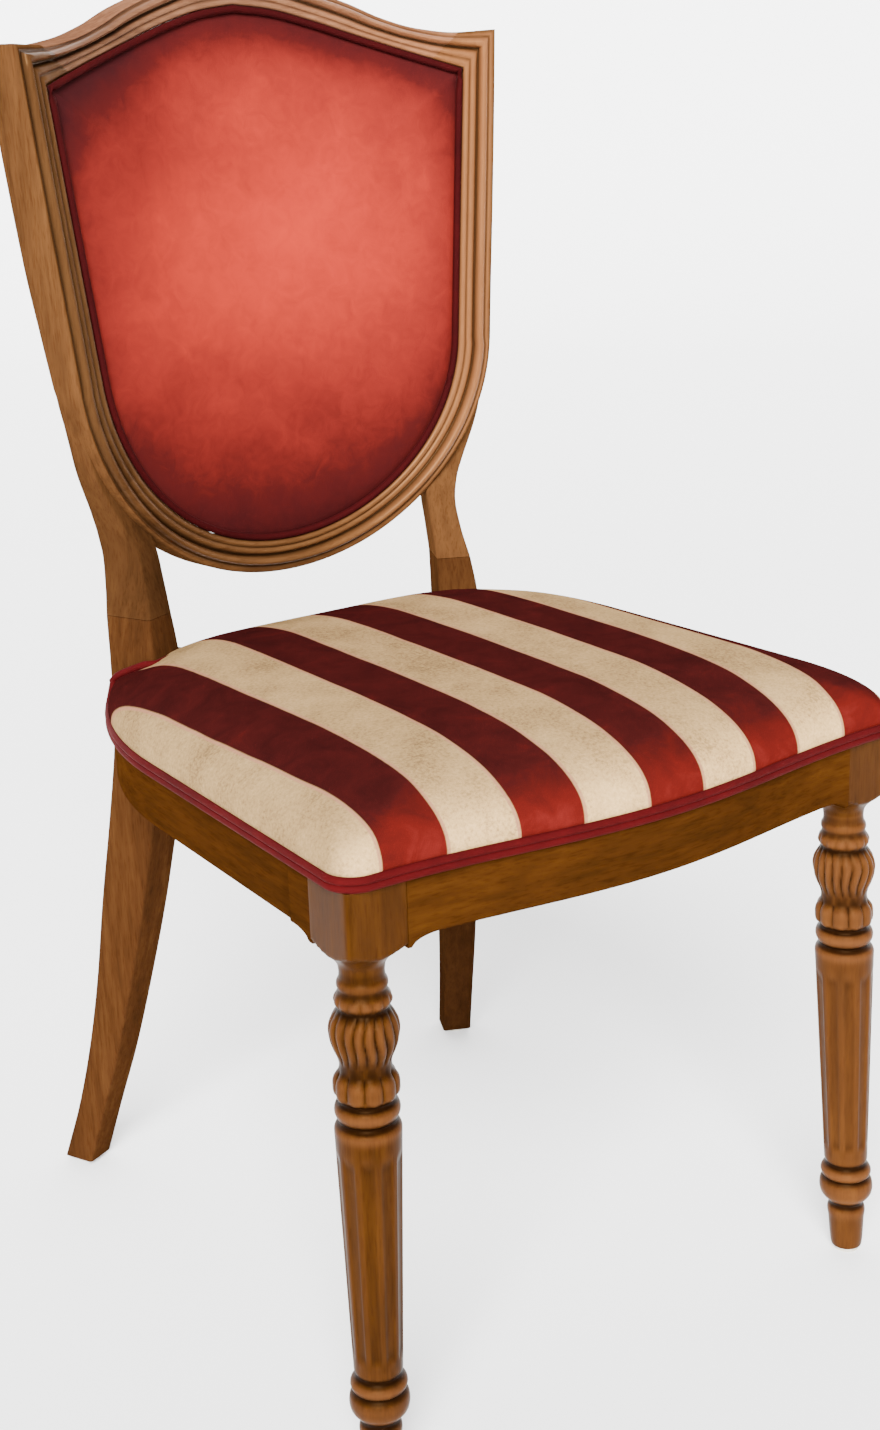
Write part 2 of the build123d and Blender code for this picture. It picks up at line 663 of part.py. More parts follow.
with BuildPart() as crest_rail:
    with BuildSketch(Plane.XZ.offset(back_reach - back_front_y)):
        with BuildLine():
            Spline(
                (shield_corner_x + frame_width / 2, ear_top),
                (peak_half_width, shield_peak + frame_width - peak_drop), (0, shield_peak + frame_width),
                tangents=[(-1, 0.05), (-1, 0)])
            Polyline(
                (shield_corner_x + frame_width / 2, ear_top),
                (shield_corner_x + frame_width / 2, shield_corner_z - ledge_width),
                (0, shield_corner_z - ledge_width))
            mirror(about=Plane.YZ)
        make_face()
    extrude(amount=-2 * back_reach)
    add(frame_slab.part, mode=Mode.INTERSECT)
    add(back_opening, mode=Mode.SUBTRACT)
    add(back_pocket.part, mode=Mode.SUBTRACT)
    split(bisect_by=crest_joint, keep=Keep.BOTTOM)
    split(bisect_by=mirrored(crest_joint), keep=Keep.BOTTOM)
    add(both_sides(crest_dowels), mode=Mode.SUBTRACT)

with BuildPart() as shield_rail:
    with BuildSketch(Plane.XZ.offset(back_reach - back_front_y)):
        with Locations((0, shield_bottom - frame_width + lower_edge_radius)):
            Circle(lower_edge_radius)
        with Locations((0, hip_height + shield_rail_lap)):
            Rectangle(
                2 * shield_rail_half, shield_radius, align=(Align.CENTER, Align.MAX), mode=Mode.INTERSECT)
    extrude(amount=-2 * back_reach)
    add(frame_slab.part, mode=Mode.INTERSECT)
    add(back_opening, mode=Mode.SUBTRACT)
    add(back_pocket.part, mode=Mode.SUBTRACT)
    split(bisect_by=lower_joint, keep=Keep.BOTTOM)
    split(bisect_by=mirrored(lower_joint), keep=Keep.BOTTOM)
    add(both_sides(lower_dowels), mode=Mode.SUBTRACT)

# Back upholstery: plywood, foam, velvet and piping in the front pocket, a thin panel behind
hollow_axis = back_plane.origin - back_plane.y_dir * back_radius
hollow_section = Plane(origin=hollow_axis, x_dir=-back_plane.y_dir, z_dir=(-1, 0, 0))
pad_half = shield_corner_x - piping_width
hollow_sag = back_radius - sqrt(back_radius**2 - pad_half**2)


def back_pad(grow, rise):
    """Pad in the front pocket; its face swells by rise above the hollow of the back, both ways."""
    sag = hollow_sag - rise
    radius = (pad_half**2 + sag**2) / (2 * sag)
    low = shield_bottom - back_level
    high = shield_peak - back_level
    rear = back_radius + pocket_depth
    upright_rise = rise + cover_thickness
    with BuildPart() as swell:
        with BuildSketch(hollow_section):
            with BuildLine():
                Polyline((back_radius, high), (rear, high), (rear, low), (back_radius, low))
                ThreePointArc(
                    (back_radius, low), (back_radius - upright_rise, (low + high) / 2), (back_radius, high))
            make_face()
        revolve(axis=Axis(hollow_section.origin, hollow_section.y_dir))
    with BuildPart() as flatter_hollow:
        with BuildSketch(back_plane):
            with Locations((0, -radius - rise)):
                Circle(radius)
        extrude(amount=back_rise, both=True)
    with BuildPart() as pad:
        add(shield_prism(grow))
        add(hollow_core(pocket_depth - panel_thickness), mode=Mode.INTERSECT)
        add(swell.part, mode=Mode.INTERSECT)
        add(flatter_hollow.part, mode=Mode.SUBTRACT)
    return pad.part


with BuildPart() as panel_slab:
    add(hollow_core(pocket_depth))
    add(hollow_core(pocket_depth - panel_thickness), mode=Mode.SUBTRACT)

with BuildPart() as back_panel:
    add(panel_prism)
    add(panel_slab.part, mode=Mode.INTERSECT)

with BuildPart() as back_piping:
    add(panel_prism)
    add(shield_prism(-piping_width), mode=Mode.SUBTRACT)
    add(hollow_core(pocket_depth - panel_thickness), mode=Mode.INTERSECT)
    add(hollow_core(-piping_proud), mode=Mode.SUBTRACT)

with BuildPart() as back_foam:
    add(back_pad(-piping_width - cover_thickness, back_crown - cover_thickness))

with BuildPart() as back_cover:
    add(back_pad(-piping_width, back_crown))
    add(back_foam.part, mode=Mode.SUBTRACT)

with BuildPart() as outside_back:
    add(shield_prism(-ledge_width - fit_gap))
    add(hollow_core(frame_thickness - outer_back_recess), mode=Mode.INTERSECT)
    add(hollow_core(frame_thickness - outer_back_recess - outer_back_thickness), mode=Mode.SUBTRACT)

# Seat upholstery: plywood board, domed foam, striped cover and welt, notched round the posts
notch_depth = 4 * post_depth
with BuildPart() as post_notch:
    with BuildSketch(Plane.XY.offset(block_floor)):
        with BuildLine():
            Polyline(
                post_point(-fit_gap, -fit_gap), post_point(-fit_gap, post_width + fit_gap),
                post_point(notch_depth, post_width + fit_gap), post_point(notch_depth, -fit_gap),
                close=True)
        make_face()
    extrude(amount=post_shoulder + pad_crown - block_floor)
post_notches = both_sides(post_notch.part)
all_seat_screws = both_sides(front_seat_screw + rear_seat_screw)

with BuildPart() as seat_board:
    add(seat_slab(board_inset, seat_rail_top, board_top))
    add(post_notches, mode=Mode.SUBTRACT)
    add(all_seat_screws, mode=Mode.SUBTRACT)

with BuildPart() as seat_welt:
    add(seat_slab(-welt_overhang, seat_rail_top, welt_top))
    add(seat_slab(welt_width - welt_overhang, seat_rail_top, welt_top), mode=Mode.SUBTRACT)
    add(post_notches, mode=Mode.SUBTRACT)


def pad_form(skin):
    """Domed seat pad, drawn in at the welt and swelling above it, skin below the outer face."""
    levels = [(0, welt_top)]
    for inset in pad_insets:
        share = 1 - (1 - (inset + pad_bulge) / pad_reach) ** dome_power
        levels.append((inset, welt_top + (pad_crown - skin) * share ** (1 / dome_power)))
    with BuildPart() as pad:
        for inset, height in levels:
            with BuildSketch(Plane.XY.offset(height)):
                with BuildLine():
                    add(seat_wire(inset + skin))
                make_face()
        loft(ruled=True)
    return pad.part


with BuildPart() as seat_foam:
    add(pad_form(cover_thickness))
    split(bisect_by=Plane.XY.offset(board_top), keep=Keep.TOP)
    add(post_notches, mode=Mode.SUBTRACT)

with BuildPart() as seat_cover:
    add(pad_form(0))
    add(pad_form(cover_thickness), mode=Mode.SUBTRACT)
    add(post_notches, mode=Mode.SUBTRACT)

with BuildPart() as dust_cover:
    add(seat_slab(dust_cover_inset, seat_rail_top - dust_cover_thickness, seat_rail_top))
    add(post_notches, mode=Mode.SUBTRACT)
    for x in (-front_leg_x, front_leg_x):
        with Locations((x, front_leg_y, seat_rail_top)):
            Box(leg_block + 2 * fit_gap, leg_block + 2 * fit_gap, rail_height, mode=Mode.SUBTRACT)
    add(all_seat_screws, mode=Mode.SUBTRACT)

# Finished pieces, right-hand ones with their mirror images
paired = {
    "front_leg": front_leg_right.part,
    "rear_leg": rear_leg_right.part,
    "back_stile": back_stile_right.part,
    "side_rail": side_rail_right.part,
    "front_corner_block": front_corner_right.part,
    "rear_corner_block": rear_corner_right.part,
    "front_glide": front_glide,
    "rear_glide": rear_glide,
}
for node, piece in paired.items():
    save(piece, f"{node}_right")
    save(mirror(piece, about=Plane.YZ), f"{node}_left")

single = {
    "front_rail": front_rail.part,
    "rear_rail": rear_rail.part,
    "crest_rail": crest_rail.part,
    "shield_rail": shield_rail.part,
    "seat_board": seat_board.part,
    "seat_foam": seat_foam.part,
    "seat_cover": seat_cover.part,
    "seat_welt": seat_welt.part,
    "dust_cover": dust_cover.part,
    "back_panel": back_panel.part,
    "back_foam": back_foam.part,
    "back_cover": back_cover.part,
    "back_piping": back_piping.part,
    "outside_back": outside_back.part,
    "front_rail_dowels": both_sides(front_rail_dowels),
    "side_rail_front_dowels": both_sides(side_front_dowels),
    "side_rail_rear_dowels": both_sides(side_rear_dowels),
    "rear_rail_dowels": both_sides(rear_rail_dowels),
    "stile_dowels": both_sides(shoulder_dowels),
    "crest_dowels": both_sides(crest_dowels),
    "shield_rail_dowels": both_sides(lower_dowels),
    "seat_screws": all_seat_screws,
    "leg_screws": both_sides(front_leg_screw + rear_leg_screw),
}
for node, piece in single.items():
    save(piece, node)
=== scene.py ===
from math import acos, asin, atan2, copysign, cos, degrees, exp, hypot, pi, radians, sin, sqrt, tan

import bpy
from mathutils import Matrix, Vector, noise


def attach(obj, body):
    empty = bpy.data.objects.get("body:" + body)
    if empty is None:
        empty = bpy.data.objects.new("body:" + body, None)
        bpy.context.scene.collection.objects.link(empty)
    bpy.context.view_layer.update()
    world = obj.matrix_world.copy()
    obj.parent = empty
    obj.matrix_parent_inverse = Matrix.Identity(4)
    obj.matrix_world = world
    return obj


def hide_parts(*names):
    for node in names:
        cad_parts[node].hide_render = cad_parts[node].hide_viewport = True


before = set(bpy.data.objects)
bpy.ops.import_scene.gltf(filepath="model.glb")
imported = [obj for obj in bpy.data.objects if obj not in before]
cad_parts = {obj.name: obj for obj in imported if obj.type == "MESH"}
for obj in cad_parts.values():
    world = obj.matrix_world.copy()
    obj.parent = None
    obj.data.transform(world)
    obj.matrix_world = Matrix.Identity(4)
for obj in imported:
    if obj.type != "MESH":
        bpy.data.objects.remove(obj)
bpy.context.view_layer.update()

# One millimetre in the scene's metres
MM = 0.001

# Sizes in millimetres, the same as in the part's source
seat_rail_top = 452.0
rail_height = 43.5
rail_thickness = 24.0
front_bow = 22.0
bow_fade = 400.0
side_taper = 11.0
side_straight = 260.0
side_end_inset = 3.0
bracket_drop = 7.0
bracket_length = 22.0
front_leg_x = 223.0
front_leg_y = -239.55
front_leg_splay = 1.3
front_leg_rake = 1.65
leg_block = 50.0
block_bottom = 388.0
block_cove = 20.0
post_turn = 25.0
post_x = 164.0
post_setback = 391.0
post_depth = 45.0
post_width = 38.0
post_shoulder = 526.0
rear_rail_thickness = 22.0
rear_overhang = 2.0
rear_corner_cut = 16.0
back_radius = 430.0
back_slope = 0.095
back_level = 940.0
back_front_y = 243.1
frame_thickness = 26.0
shield_radius = 172.0
shield_center = 733.0
shield_corner_x = 192.0
shield_corner_z = 940.0
shield_peak = 995.5
ear_x = 218.7
crest_peak = 1021.5
welt_top = 461.0
pad_bulge = 3.0
pad_reach = 170.0
dome_power = 2.5
glide_height = 4.0

# Sizes of the finer shapes that only the scene has
ear_top = 971.0
pad_crown = 55.0
post_dip = 17.0
seat_corner_radius = 22.0
joint_lap = 3.5

rail_bottom = seat_rail_top - rail_height
seat_half_width = front_leg_x + leg_block / 2
seat_front = front_leg_y - leg_block / 2
block_half = leg_block / 2
post_origin = Vector((post_x, front_leg_y + post_setback))
along = Vector((sin(radians(post_turn)), cos(radians(post_turn))))
across = Vector((-cos(radians(post_turn)), sin(radians(post_turn))))


def post_point(depth, inset):
    """Plan position on the right-hand post."""
    return post_origin + along * depth + across * inset


rear_joint = post_point(post_depth / 2, post_width)
seat_rear = rear_joint.y + rear_rail_thickness / 2 + rear_overhang


# Small tools for curves and meshes
def smooth_step(low, high, value):
    """Rises from 0 to 1 between low and high."""
    share = min(max((value - low) / (high - low), 0.0), 1.0)
    return share * share * (3 - 2 * share)


def curve_through(points, place):
    """Smooth value at place through (place, value) points, with no overshoot."""
    if place <= points[0][0]:
        return points[0][1]
    if place >= points[-1][0]:
        return points[-1][1]
    slopes = []
    for i in range(len(points) - 1):
        slopes.append((points[i + 1][1] - points[i][1]) / (points[i + 1][0] - points[i][0]))
    tangents = [slopes[0]]
    for before, after in zip(slopes, slopes[1:]):
        tangents.append(0.0 if before * after <= 0 else 2 * before * after / (before + after))
    tangents.append(slopes[-1])
    i = 0
    while points[i + 1][0] < place:
        i += 1
    width = points[i + 1][0] - points[i][0]
    t = (place - points[i][0]) / width
    return (
        (2 * t**3 - 3 * t**2 + 1) * points[i][1] + (t**3 - 2 * t**2 + t) * width * tangents[i]
        + (3 * t**2 - 2 * t**3) * points[i + 1][1] + (t**3 - t**2) * width * tangents[i + 1])


def steps_between(low, high, count):
    """Even steps from low to high."""
    return [low + (high - low) * k / count for k in range(count + 1)]


def make_object(name, places, faces, sharp=40.0):
    """A mesh object from places in millimetres, smooth except over sharp edges."""
    mesh = bpy.data.meshes.new(name)
    mesh.from_pydata([(p[0] * MM, p[1] * MM, p[2] * MM) for p in places], [], faces)
    mesh.validate()
    for polygon in mesh.polygons:
        polygon.use_smooth = True
    mesh.set_sharp_from_angle(angle=radians(sharp))
    piece = bpy.data.objects.new(name, mesh)
    bpy.context.scene.collection.objects.link(piece)
    return piece


def skin(rings, start_cap=True, end_cap=True):
    """Places and faces over closed rings of places."""
    places = []
    faces = []
    count = len(rings[0])
    for ring in rings:
        places.extend(ring)
    for j in range(len(rings) - 1):
        for i in range(count):
            k = (i + 1) % count
            faces.append((j * count + i, j * count + k, (j + 1) * count + k, (j + 1) * count + i))
    if start_cap:
        faces.append(tuple(reversed(range(count))))
    if end_cap:
        last = (len(rings) - 1) * count
        faces.append(tuple(last + i for i in range(count)))
    return places, faces


def joined(*parts):
    """Several (places, faces) as one."""
    places = []
    faces = []
    for some_places, some_faces in parts:
        shift = len(places)
        places.extend(some_places)
        faces.extend(tuple(i + shift for i in face) for face in some_faces)
    return places, faces


def mirrored(shape):
    """The left-hand copy of a right-hand (places, faces)."""
    places, faces = shape
    return [(-p[0], p[1], p[2]) for p in places], [tuple(reversed(face)) for face in faces]


def both_sides(shape):
    """A right-hand shape and its left-hand copy, each with the name of its side."""
    return ("right", shape), ("left", mirrored(shape))


def set_values(piece, name, values):
    """A number for each point of a piece, for its material to read."""
    layer = piece.data.attributes.new(name, "FLOAT", "POINT")
    layer.data.foreach_set("value", values)


def rounded_box(half_width, half_height, radius, steps=3):
    """Ring of a rectangle with rounded corners, as offsets."""
    ring = []
    for quarter, (sx, sy) in enumerate(((1, 1), (-1, 1), (-1, -1), (1, -1))):
        for k in range(steps + 1):
            angle = radians(90 * quarter + 90 * k / steps)
            ring.append((
                sx * (half_width - radius) + radius * cos(angle),
                sy * (half_height - radius) + radius * sin(angle)))
    return ring


# Plan outline of the seat
def arc_points(start, tangent, end, count):
    """Points on the arc that leaves start along tangent and reaches end."""
    normal = Vector((-tangent.y, tangent.x))
    chord = end - start
    radius = chord.length_squared / (2 * chord.dot(normal))
    center = start + normal * radius
    first = atan2(start.y - center.y, start.x - center.x)
    turn = 2 * asin(chord.length / (2 * abs(radius)))
    if radius < 0:
        turn = -turn
    points = []
    for k in range(count + 1):
        angle = first + turn * k / count
        points.append(center + Vector((cos(angle), sin(angle))) * abs(radius))
    return points


front_steps = 48
corner_steps = 14
side_steps = 20
bend_steps = 24
rear_corner_steps = 5
rear_steps = 24
# Share of an inset that a front corner's radius grows by, and the way the rear corner moves with it
corner_growth = 0.5
corner_draw = Vector((-0.66, -0.95))


def seat_outline(inset):
    """Closed outline of the seat, drawn in by inset, from the middle of the front round by the right."""
    radius = seat_corner_radius + corner_growth * inset
    half = seat_half_width - inset
    front = seat_front + inset
    bow = front_bow * (1 - inset / bow_fade)
    start = half - radius
    side_end = post_point(post_depth - side_end_inset, 0) + corner_draw * inset
    rear_corner = Vector((side_end.x - rear_corner_cut, seat_rear - inset))
    path = []
    for k in range(front_steps):
        x = start * k / front_steps
        path.append(Vector((x, front - bow * 0.5 * (1 + cos(pi * x / start)))))
    for k in range(corner_steps):
        angle = pi / 2 * k / corner_steps
        path.append(Vector((start + radius * sin(angle), front + radius * (1 - cos(angle)))))
    side_start = Vector((half, front + radius))
    side_bend = Vector((half - side_taper, front_leg_y + side_straight))
    for k in range(side_steps):
        path.append(side_start.lerp(side_bend, k / side_steps))
    bend = arc_points(side_bend, (side_bend - side_start).normalized(), side_end, bend_steps)
    path.extend(bend[:-1])
    for k in range(rear_corner_steps):
        path.append(side_end.lerp(rear_corner, k / rear_corner_steps))
    for k in range(rear_steps + 1):
        path.append(rear_corner.lerp(Vector((0, rear_corner.y)), k / rear_steps))
    left = [Vector((-p.x, p.y)) for p in reversed(path[1:-1])]
    return path + left


# Materials
def linear(code):
    """A hex colour as linear light."""
    values = []
    for i in (0, 2, 4):
        c = int(code[i:i + 2], 16) / 255
        values.append(c / 12.92 if c <= 0.04045 else ((c + 0.055) / 1.055) ** 2.4)
    return (*values, 1.0)


class Nodes:
    """Short way to write a material's nodes."""

    def __init__(self, name):
        self.material = bpy.data.materials.new(name)
        self.material.use_nodes = True
        self.tree = self.material.node_tree
        self.shader = self.tree.nodes["Principled BSDF"]

    def add(self, kind, inputs=None, **settings):
        node = self.tree.nodes.new(kind)
        for key, value in settings.items():
            setattr(node, key, value)
        for key, value in (inputs or {}).items():
            self.put(node.inputs[key], value)
        return node

    def put(self, socket, value):
        if hasattr(value, "is_output"):
            self.tree.links.new(value, socket)
        else:
            socket.default_value = value

    def set(self, **values):
        for key, value in values.items():
            self.put(self.shader.inputs[key.replace("_", " ")], value)

    def places(self, stretch):
        coordinates = self.add("ShaderNodeTexCoord")
        mapping = self.add("ShaderNodeMapping", {"Vector": coordinates.outputs["Object"], "Scale": stretch})
        return mapping.outputs["Vector"]

    def noise(self, stretch, size, detail, roughness, distortion=0.0):
        texture = self.add("ShaderNodeTexNoise", {
            "Vector": self.places(stretch), "Scale": size, "Detail": detail, "Roughness": roughness,
            "Distortion": distortion})
        return texture.outputs["Fac"]

    def math(self, operation, first, second=0.5, third=0.5, clamp=False):
        node = self.add("ShaderNodeMath", operation=operation, use_clamp=clamp)
        for socket, value in zip(node.inputs, (first, second, third)):
            self.put(socket, value)
        return node.outputs[0]

    def weighted(self, first, share, second, other_share):
        return self.math("MULTIPLY_ADD", first, share, self.math("MULTIPLY", second, other_share))

    def ramp(self, factor, stops):
        node = self.add("ShaderNodeValToRGB", {"Fac": factor})
        marks = node.color_ramp.elements
        while len(marks) < len(stops):
            marks.new(0.5)
        for mark, (place, colour) in zip(marks, stops):
            mark.position = place
            mark.color = colour
        return node.outputs["Color"]

    def mix(self, factor, first, second, blend="MIX"):
        node = self.add("ShaderNodeMix", data_type="RGBA", blend_type=blend, clamp_factor=True)
        self.put(node.inputs[0], factor)
        self.put(node.inputs[6], first)
        self.put(node.inputs[7], second)
        return node.outputs[2]

    def value(self, name):
        return self.add("ShaderNodeAttribute", attribute_name=name).outputs["Fac"]

    def spread(self, factor, from_low, from_high, low=0.0, high=1.0):
        node = self.add("ShaderNodeMapRange", {
            "Value": factor, "From Min": from_low, "From Max": from_high, "To Min": low, "To Max": high})
        return node.outputs["Result"]

    def bump(self, height, strength, distance):
        node = self.add("ShaderNodeBump", {"Height": height, "Strength": strength, "Distance": distance})
        self.put(self.shader.inputs["Normal"], node.outputs["Normal"])


no_stretch = (1, 1, 1)
# Colour of the painted light and painted highlights on the wood
painted_light_colour = "9A623C"
shine_colour = "FFC080"
fibre_fineness = 7
pore_fineness = 26


def wood_material(name, stretch, colours, gloss):
    """Lacquered wood, lightened by a value of painted light and highlights and darkened by a value of glazing
    and painted shade.
    """
    dark, middle, light, glaze_and_shade = (linear(code) for code in colours)
    n = Nodes(name)
    figure = n.noise(stretch, 2.2, detail=3.0, roughness=0.5, distortion=0.4)
    fibre = n.noise(tuple(fibre_fineness * s for s in stretch), 3.0, detail=5.0, roughness=0.6)
    pores = n.noise(tuple(pore_fineness * s for s in stretch), 3.0, detail=2.0, roughness=0.5)
    grain = n.weighted(fibre, 0.45, figure, 0.55)
    colour = n.ramp(grain, ((0.30, dark), (0.50, middle), (0.72, light)))
    fine = n.ramp(pores, ((0.34, (0.62, 0.52, 0.44, 1)), (0.48, (1, 1, 1, 1))))
    colour = n.mix(0.5, colour, fine, "MULTIPLY")
    # Painted light and highlights first, then dark glaze and painted shade
    colour = n.mix(n.value("painted_light"), colour, linear(painted_light_colour))
    colour = n.mix(n.value("glaze_and_shade"), colour, glaze_and_shade)
    n.set(Base_Color=colour, Roughness=n.spread(fibre, 0.3, 0.7, low=0.28, high=0.40),
          Specular_IOR_Level=gloss, Specular_Tint=linear(shine_colour))
    n.bump(n.math("MULTIPLY_ADD", pores, 0.6, fibre), strength=0.12, distance=0.0005)
    return n.material


def wood_pair(name, stretch, colours, gloss):
    """A dull wood, and the same wood polished for the face of a moulding."""
    dull = wood_material(name, stretch, colours, gloss=0.0)
    return dull, wood_material(f"{name}_face", stretch, colours, gloss)


# Dark, middle and light grain and the colour of glaze and painted shade of each wood; the rails and legs get
# a darker wood than the back, a painted shade for the parts under the seat
upper_colours = ("301D0E", "472D18", "583A20", "0C0401")
crest_colours = ("462C20", "684632", "7E5842", "100602")
lower_colours = ("241305", "341C08", "43270D", "0A0301")
rear_colours = ("26160A", "361F0E", "462C16", "0A0301")
turned_colours = ("221205", "341C07", "44280C", "0A0301")
pale_colours = ("8A6A3C", "A8885A", "BDA078", "5A4020")
grain_up = (9.0, 9.0, 0.9)
grain_cross = (0.9, 9.0, 9.0)
grain_back = (9.0, 0.9, 9.0)
upright_woods = wood_pair("wood_up", grain_up, upper_colours, gloss=0.18)
low_rail_woods = wood_pair("wood_low", grain_cross, upper_colours, gloss=0.25)
crest_woods = wood_pair("wood_crest", grain_cross, crest_colours, gloss=0.3)
rail_cross = wood_material("rail_cross", grain_cross, lower_colours, gloss=0.0)
rail_back = wood_material("rail_back", grain_back, lower_colours, gloss=0.0)
rear_leg_wood = wood_material("rear_leg_wood", grain_up, rear_colours, gloss=0.0)
turned_wood = wood_material("turned_wood", grain_up, turned_colours, gloss=0.03)
pale_wood = wood_material("pale_wood", grain_back, pale_colours, gloss=0.3)


def velvet_material(name, colours, tint, sheen):
    """Velvet with a random mottle, lightened where its value of painted light is high."""
    dark, low, middle, bright = (linear(code) for code in colours)
    n = Nodes(name)
    large = n.noise(no_stretch, 11.0, detail=5.0, roughness=0.62, distortion=0.5)
    small = n.noise(no_stretch, 60.0, detail=4.0, roughness=0.62, distortion=1.0)
    mottle = n.weighted(large, 0.30, small, 0.20)
    factor = n.math("ADD", n.value("painted_pile_light"), n.math("SUBTRACT", mottle, 0.25), clamp=True)
    colour = n.ramp(factor, ((0.05, dark), (0.3, low), (0.6, middle), (0.95, bright)))
    n.set(Base_Color=colour, Roughness=0.8, Specular_IOR_Level=0.04,
          Sheen_Weight=sheen, Sheen_Roughness=0.35, Sheen_Tint=linear(tint))
    fine = n.noise(no_stretch, 900.0, detail=2.0, roughness=0.5)
    n.bump(n.math("MULTIPLY_ADD", fine, 0.3, small), strength=0.22, distance=0.0012)
    return n.material


back_reds = ("2A0A0C", "3E0E0D", "701E17", "A22C1E")
welt_reds = ("160203", "2C0405", "48080A", "6C1614")
back_velvet = velvet_material("back_velvet", back_reds, tint="B05040", sheen=0.06)
welt_velvet = velvet_material("welt_velvet", welt_reds, tint="B06060", sheen=0.06)

# Stripes of the seat, in metres across it
stripe_period = 0.103
stripe_shift = -0.0105
stripe_half = 0.0245
stripe_blur = 0.0007
stripe_wander = 0.003
edge_shift = 0.0012
edge_outer = 0.0016
edge_inner = 0.0006


def striped_material():
    """Cream and red stripes that run from front to back; the red is velvet, the cream a flecked weave."""
    n = Nodes("striped_cloth")
    coordinates = n.add("ShaderNodeTexCoord")
    split = n.add("ShaderNodeSeparateXYZ", {"Vector": coordinates.outputs["Object"]})
    wander = n.noise(no_stretch, 14.0, detail=2.0, roughness=0.5)
    across_seat = n.math("MULTIPLY_ADD", wander, stripe_wander, split.outputs["X"])
    turn = n.math("PINGPONG", n.math("ADD", across_seat, stripe_shift), stripe_period / 2)
    cream_share = n.spread(turn, stripe_half - stripe_blur, stripe_half + stripe_blur)
    edge = n.math("ABSOLUTE", n.math("SUBTRACT", turn, stripe_half + edge_shift))
    edge_share = n.spread(edge, edge_outer, edge_inner)
    fleck = n.noise(no_stretch, 420.0, detail=3.0, roughness=0.7)
    cloud = n.noise(no_stretch, 24.0, detail=4.0, roughness=0.6)
    cream = n.ramp(n.weighted(cloud, 0.45, fleck, 0.6), (
        (0.36, linear("866B48")), (0.52, linear("B09062")), (0.7, linear("C6A472"))))
    # Painted light: the cream is dim on the seat's top and light on its front roll
    cream_light = n.ramp(n.value("painted_pile_light"), ((0.2, (0.47, 0.465, 0.47, 1)), (0.6, (1, 0.98, 0.94, 1))))
    cream = n.mix(1.0, cream, cream_light, "MULTIPLY")
    mottle = n.noise(no_stretch, 34.0, detail=4.0, roughness=0.65, distortion=0.6)
    shaded = n.math("MULTIPLY", n.math("SUBTRACT", mottle, 0.5), 0.5)
    # The red follows the same painted light, with a random mottle
    red = n.ramp(n.math("ADD", n.value("painted_pile_light"), shaded, clamp=True), (
        (0.05, linear("1E0909")), (0.3, linear("300E0D")),
        (0.6, linear("4C120E")), (0.95, linear("6E2420"))))
    colour = n.mix(cream_share, red, cream)
    colour = n.mix(n.math("MULTIPLY", edge_share, 0.7), colour, linear("8A5C4A"))
    n.set(Base_Color=colour, Roughness=0.82, Specular_IOR_Level=0.0)
    weave = n.add(
        "ShaderNodeTexWave", {"Vector": n.places(no_stretch), "Scale": 260.0, "Distortion": 2.0},
        bands_direction="X").outputs["Fac"]
    raised = n.math("MULTIPLY_ADD", weave, 0.25, fleck)
    raised = n.math("SUBTRACT", raised, n.math("MULTIPLY", cream_share, 0.6))
    n.bump(raised, strength=0.25, distance=0.0010)
    return n.material


striped_cloth = striped_material()


def plain_material(name, first, second, size, roughness, metallic=0.0):
    """Plain material with a slight variation."""
    n = Nodes(name)
    spots = n.noise(no_stretch, size, detail=4.0, roughness=0.6)
    colour = n.ramp(spots, ((0.35, linear(first)), (0.65, linear(second))))
    n.set(Base_Color=colour, Roughness=roughness, Metallic=metallic)
    n.bump(spots, strength=0.1, distance=0.0004)
    return n.material


nylon = plain_material("nylon", "B8B0A0", "CCC6BA", size=300.0, roughness=0.5)
steel = plain_material("steel", "9A9A9C", "B8B8BC", size=500.0, roughness=0.35, metallic=1.0)
dust_cloth = plain_material("dust_cloth", "141416", "24242A", size=700.0, roughness=0.9)


def dress(piece, material, slot, *nodes):
    """Gives a piece its material and puts it in place of CAD nodes."""
    piece.data.materials.append(material)
    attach(piece, "root")
    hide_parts(*nodes)


# Front legs: square head, turned and carved below it, as (height, radius) from the foot up
leg_foot = [(glide_height, 12.3), (7.0, 12.9), (30.0, 14.6), (37.0, 15.4), (40.5, 14.6), (43.0, 13.4)]
foot_rings = [
    (46.0, 14.2), (49.0, 17.6), (54.0, 20.8), (59.0, 21.6), (64.0, 21.0), (67.0, 19.0), (68.5, 17.6),
    (70.0, 19.4), (73.5, 20.4), (77.0, 19.0), (79.0, 16.8), (81.5, 15.8)]
leg_shaft = [(84.5, 17.4), (90.0, 17.6), (180.0, 20.4), (264.0, 23.0), (270.0, 23.2), (273.5, 22.0)]
shaft_ring = [(275.5, 18.8), (277.0, 18.6), (280.0, 21.4), (284.5, 22.6), (288.5, 21.6), (291.0, 18.8)]
leg_crown = [
    (293.0, 19.0), (296.0, 21.0), (300.0, 21.6), (304.0, 21.6), (307.5, 21.0), (310.5, 19.4), (313.0, 18.2)]
leg_bulb = [
    (318.0, 17.8), (323.0, 18.6), (329.0, 20.8), (336.0, 22.8), (343.0, 23.6), (348.5, 22.8),
    (353.5, 20.6), (357.0, 18.4)]
leg_beads = [
    (358.8, 17.4), (361.0, 18.6), (364.0, 19.6), (367.0, 18.9), (370.0, 17.2), (372.5, 16.6),
    (375.0, 17.4), (377.5, 17.2)]
leg_neck = [(380.0, 15.8), (384.0, 15.4), (block_bottom, 15.8)]
leg_profile = leg_foot + foot_rings + leg_shaft + shaft_ring + leg_crown + leg_bulb + leg_beads + leg_neck

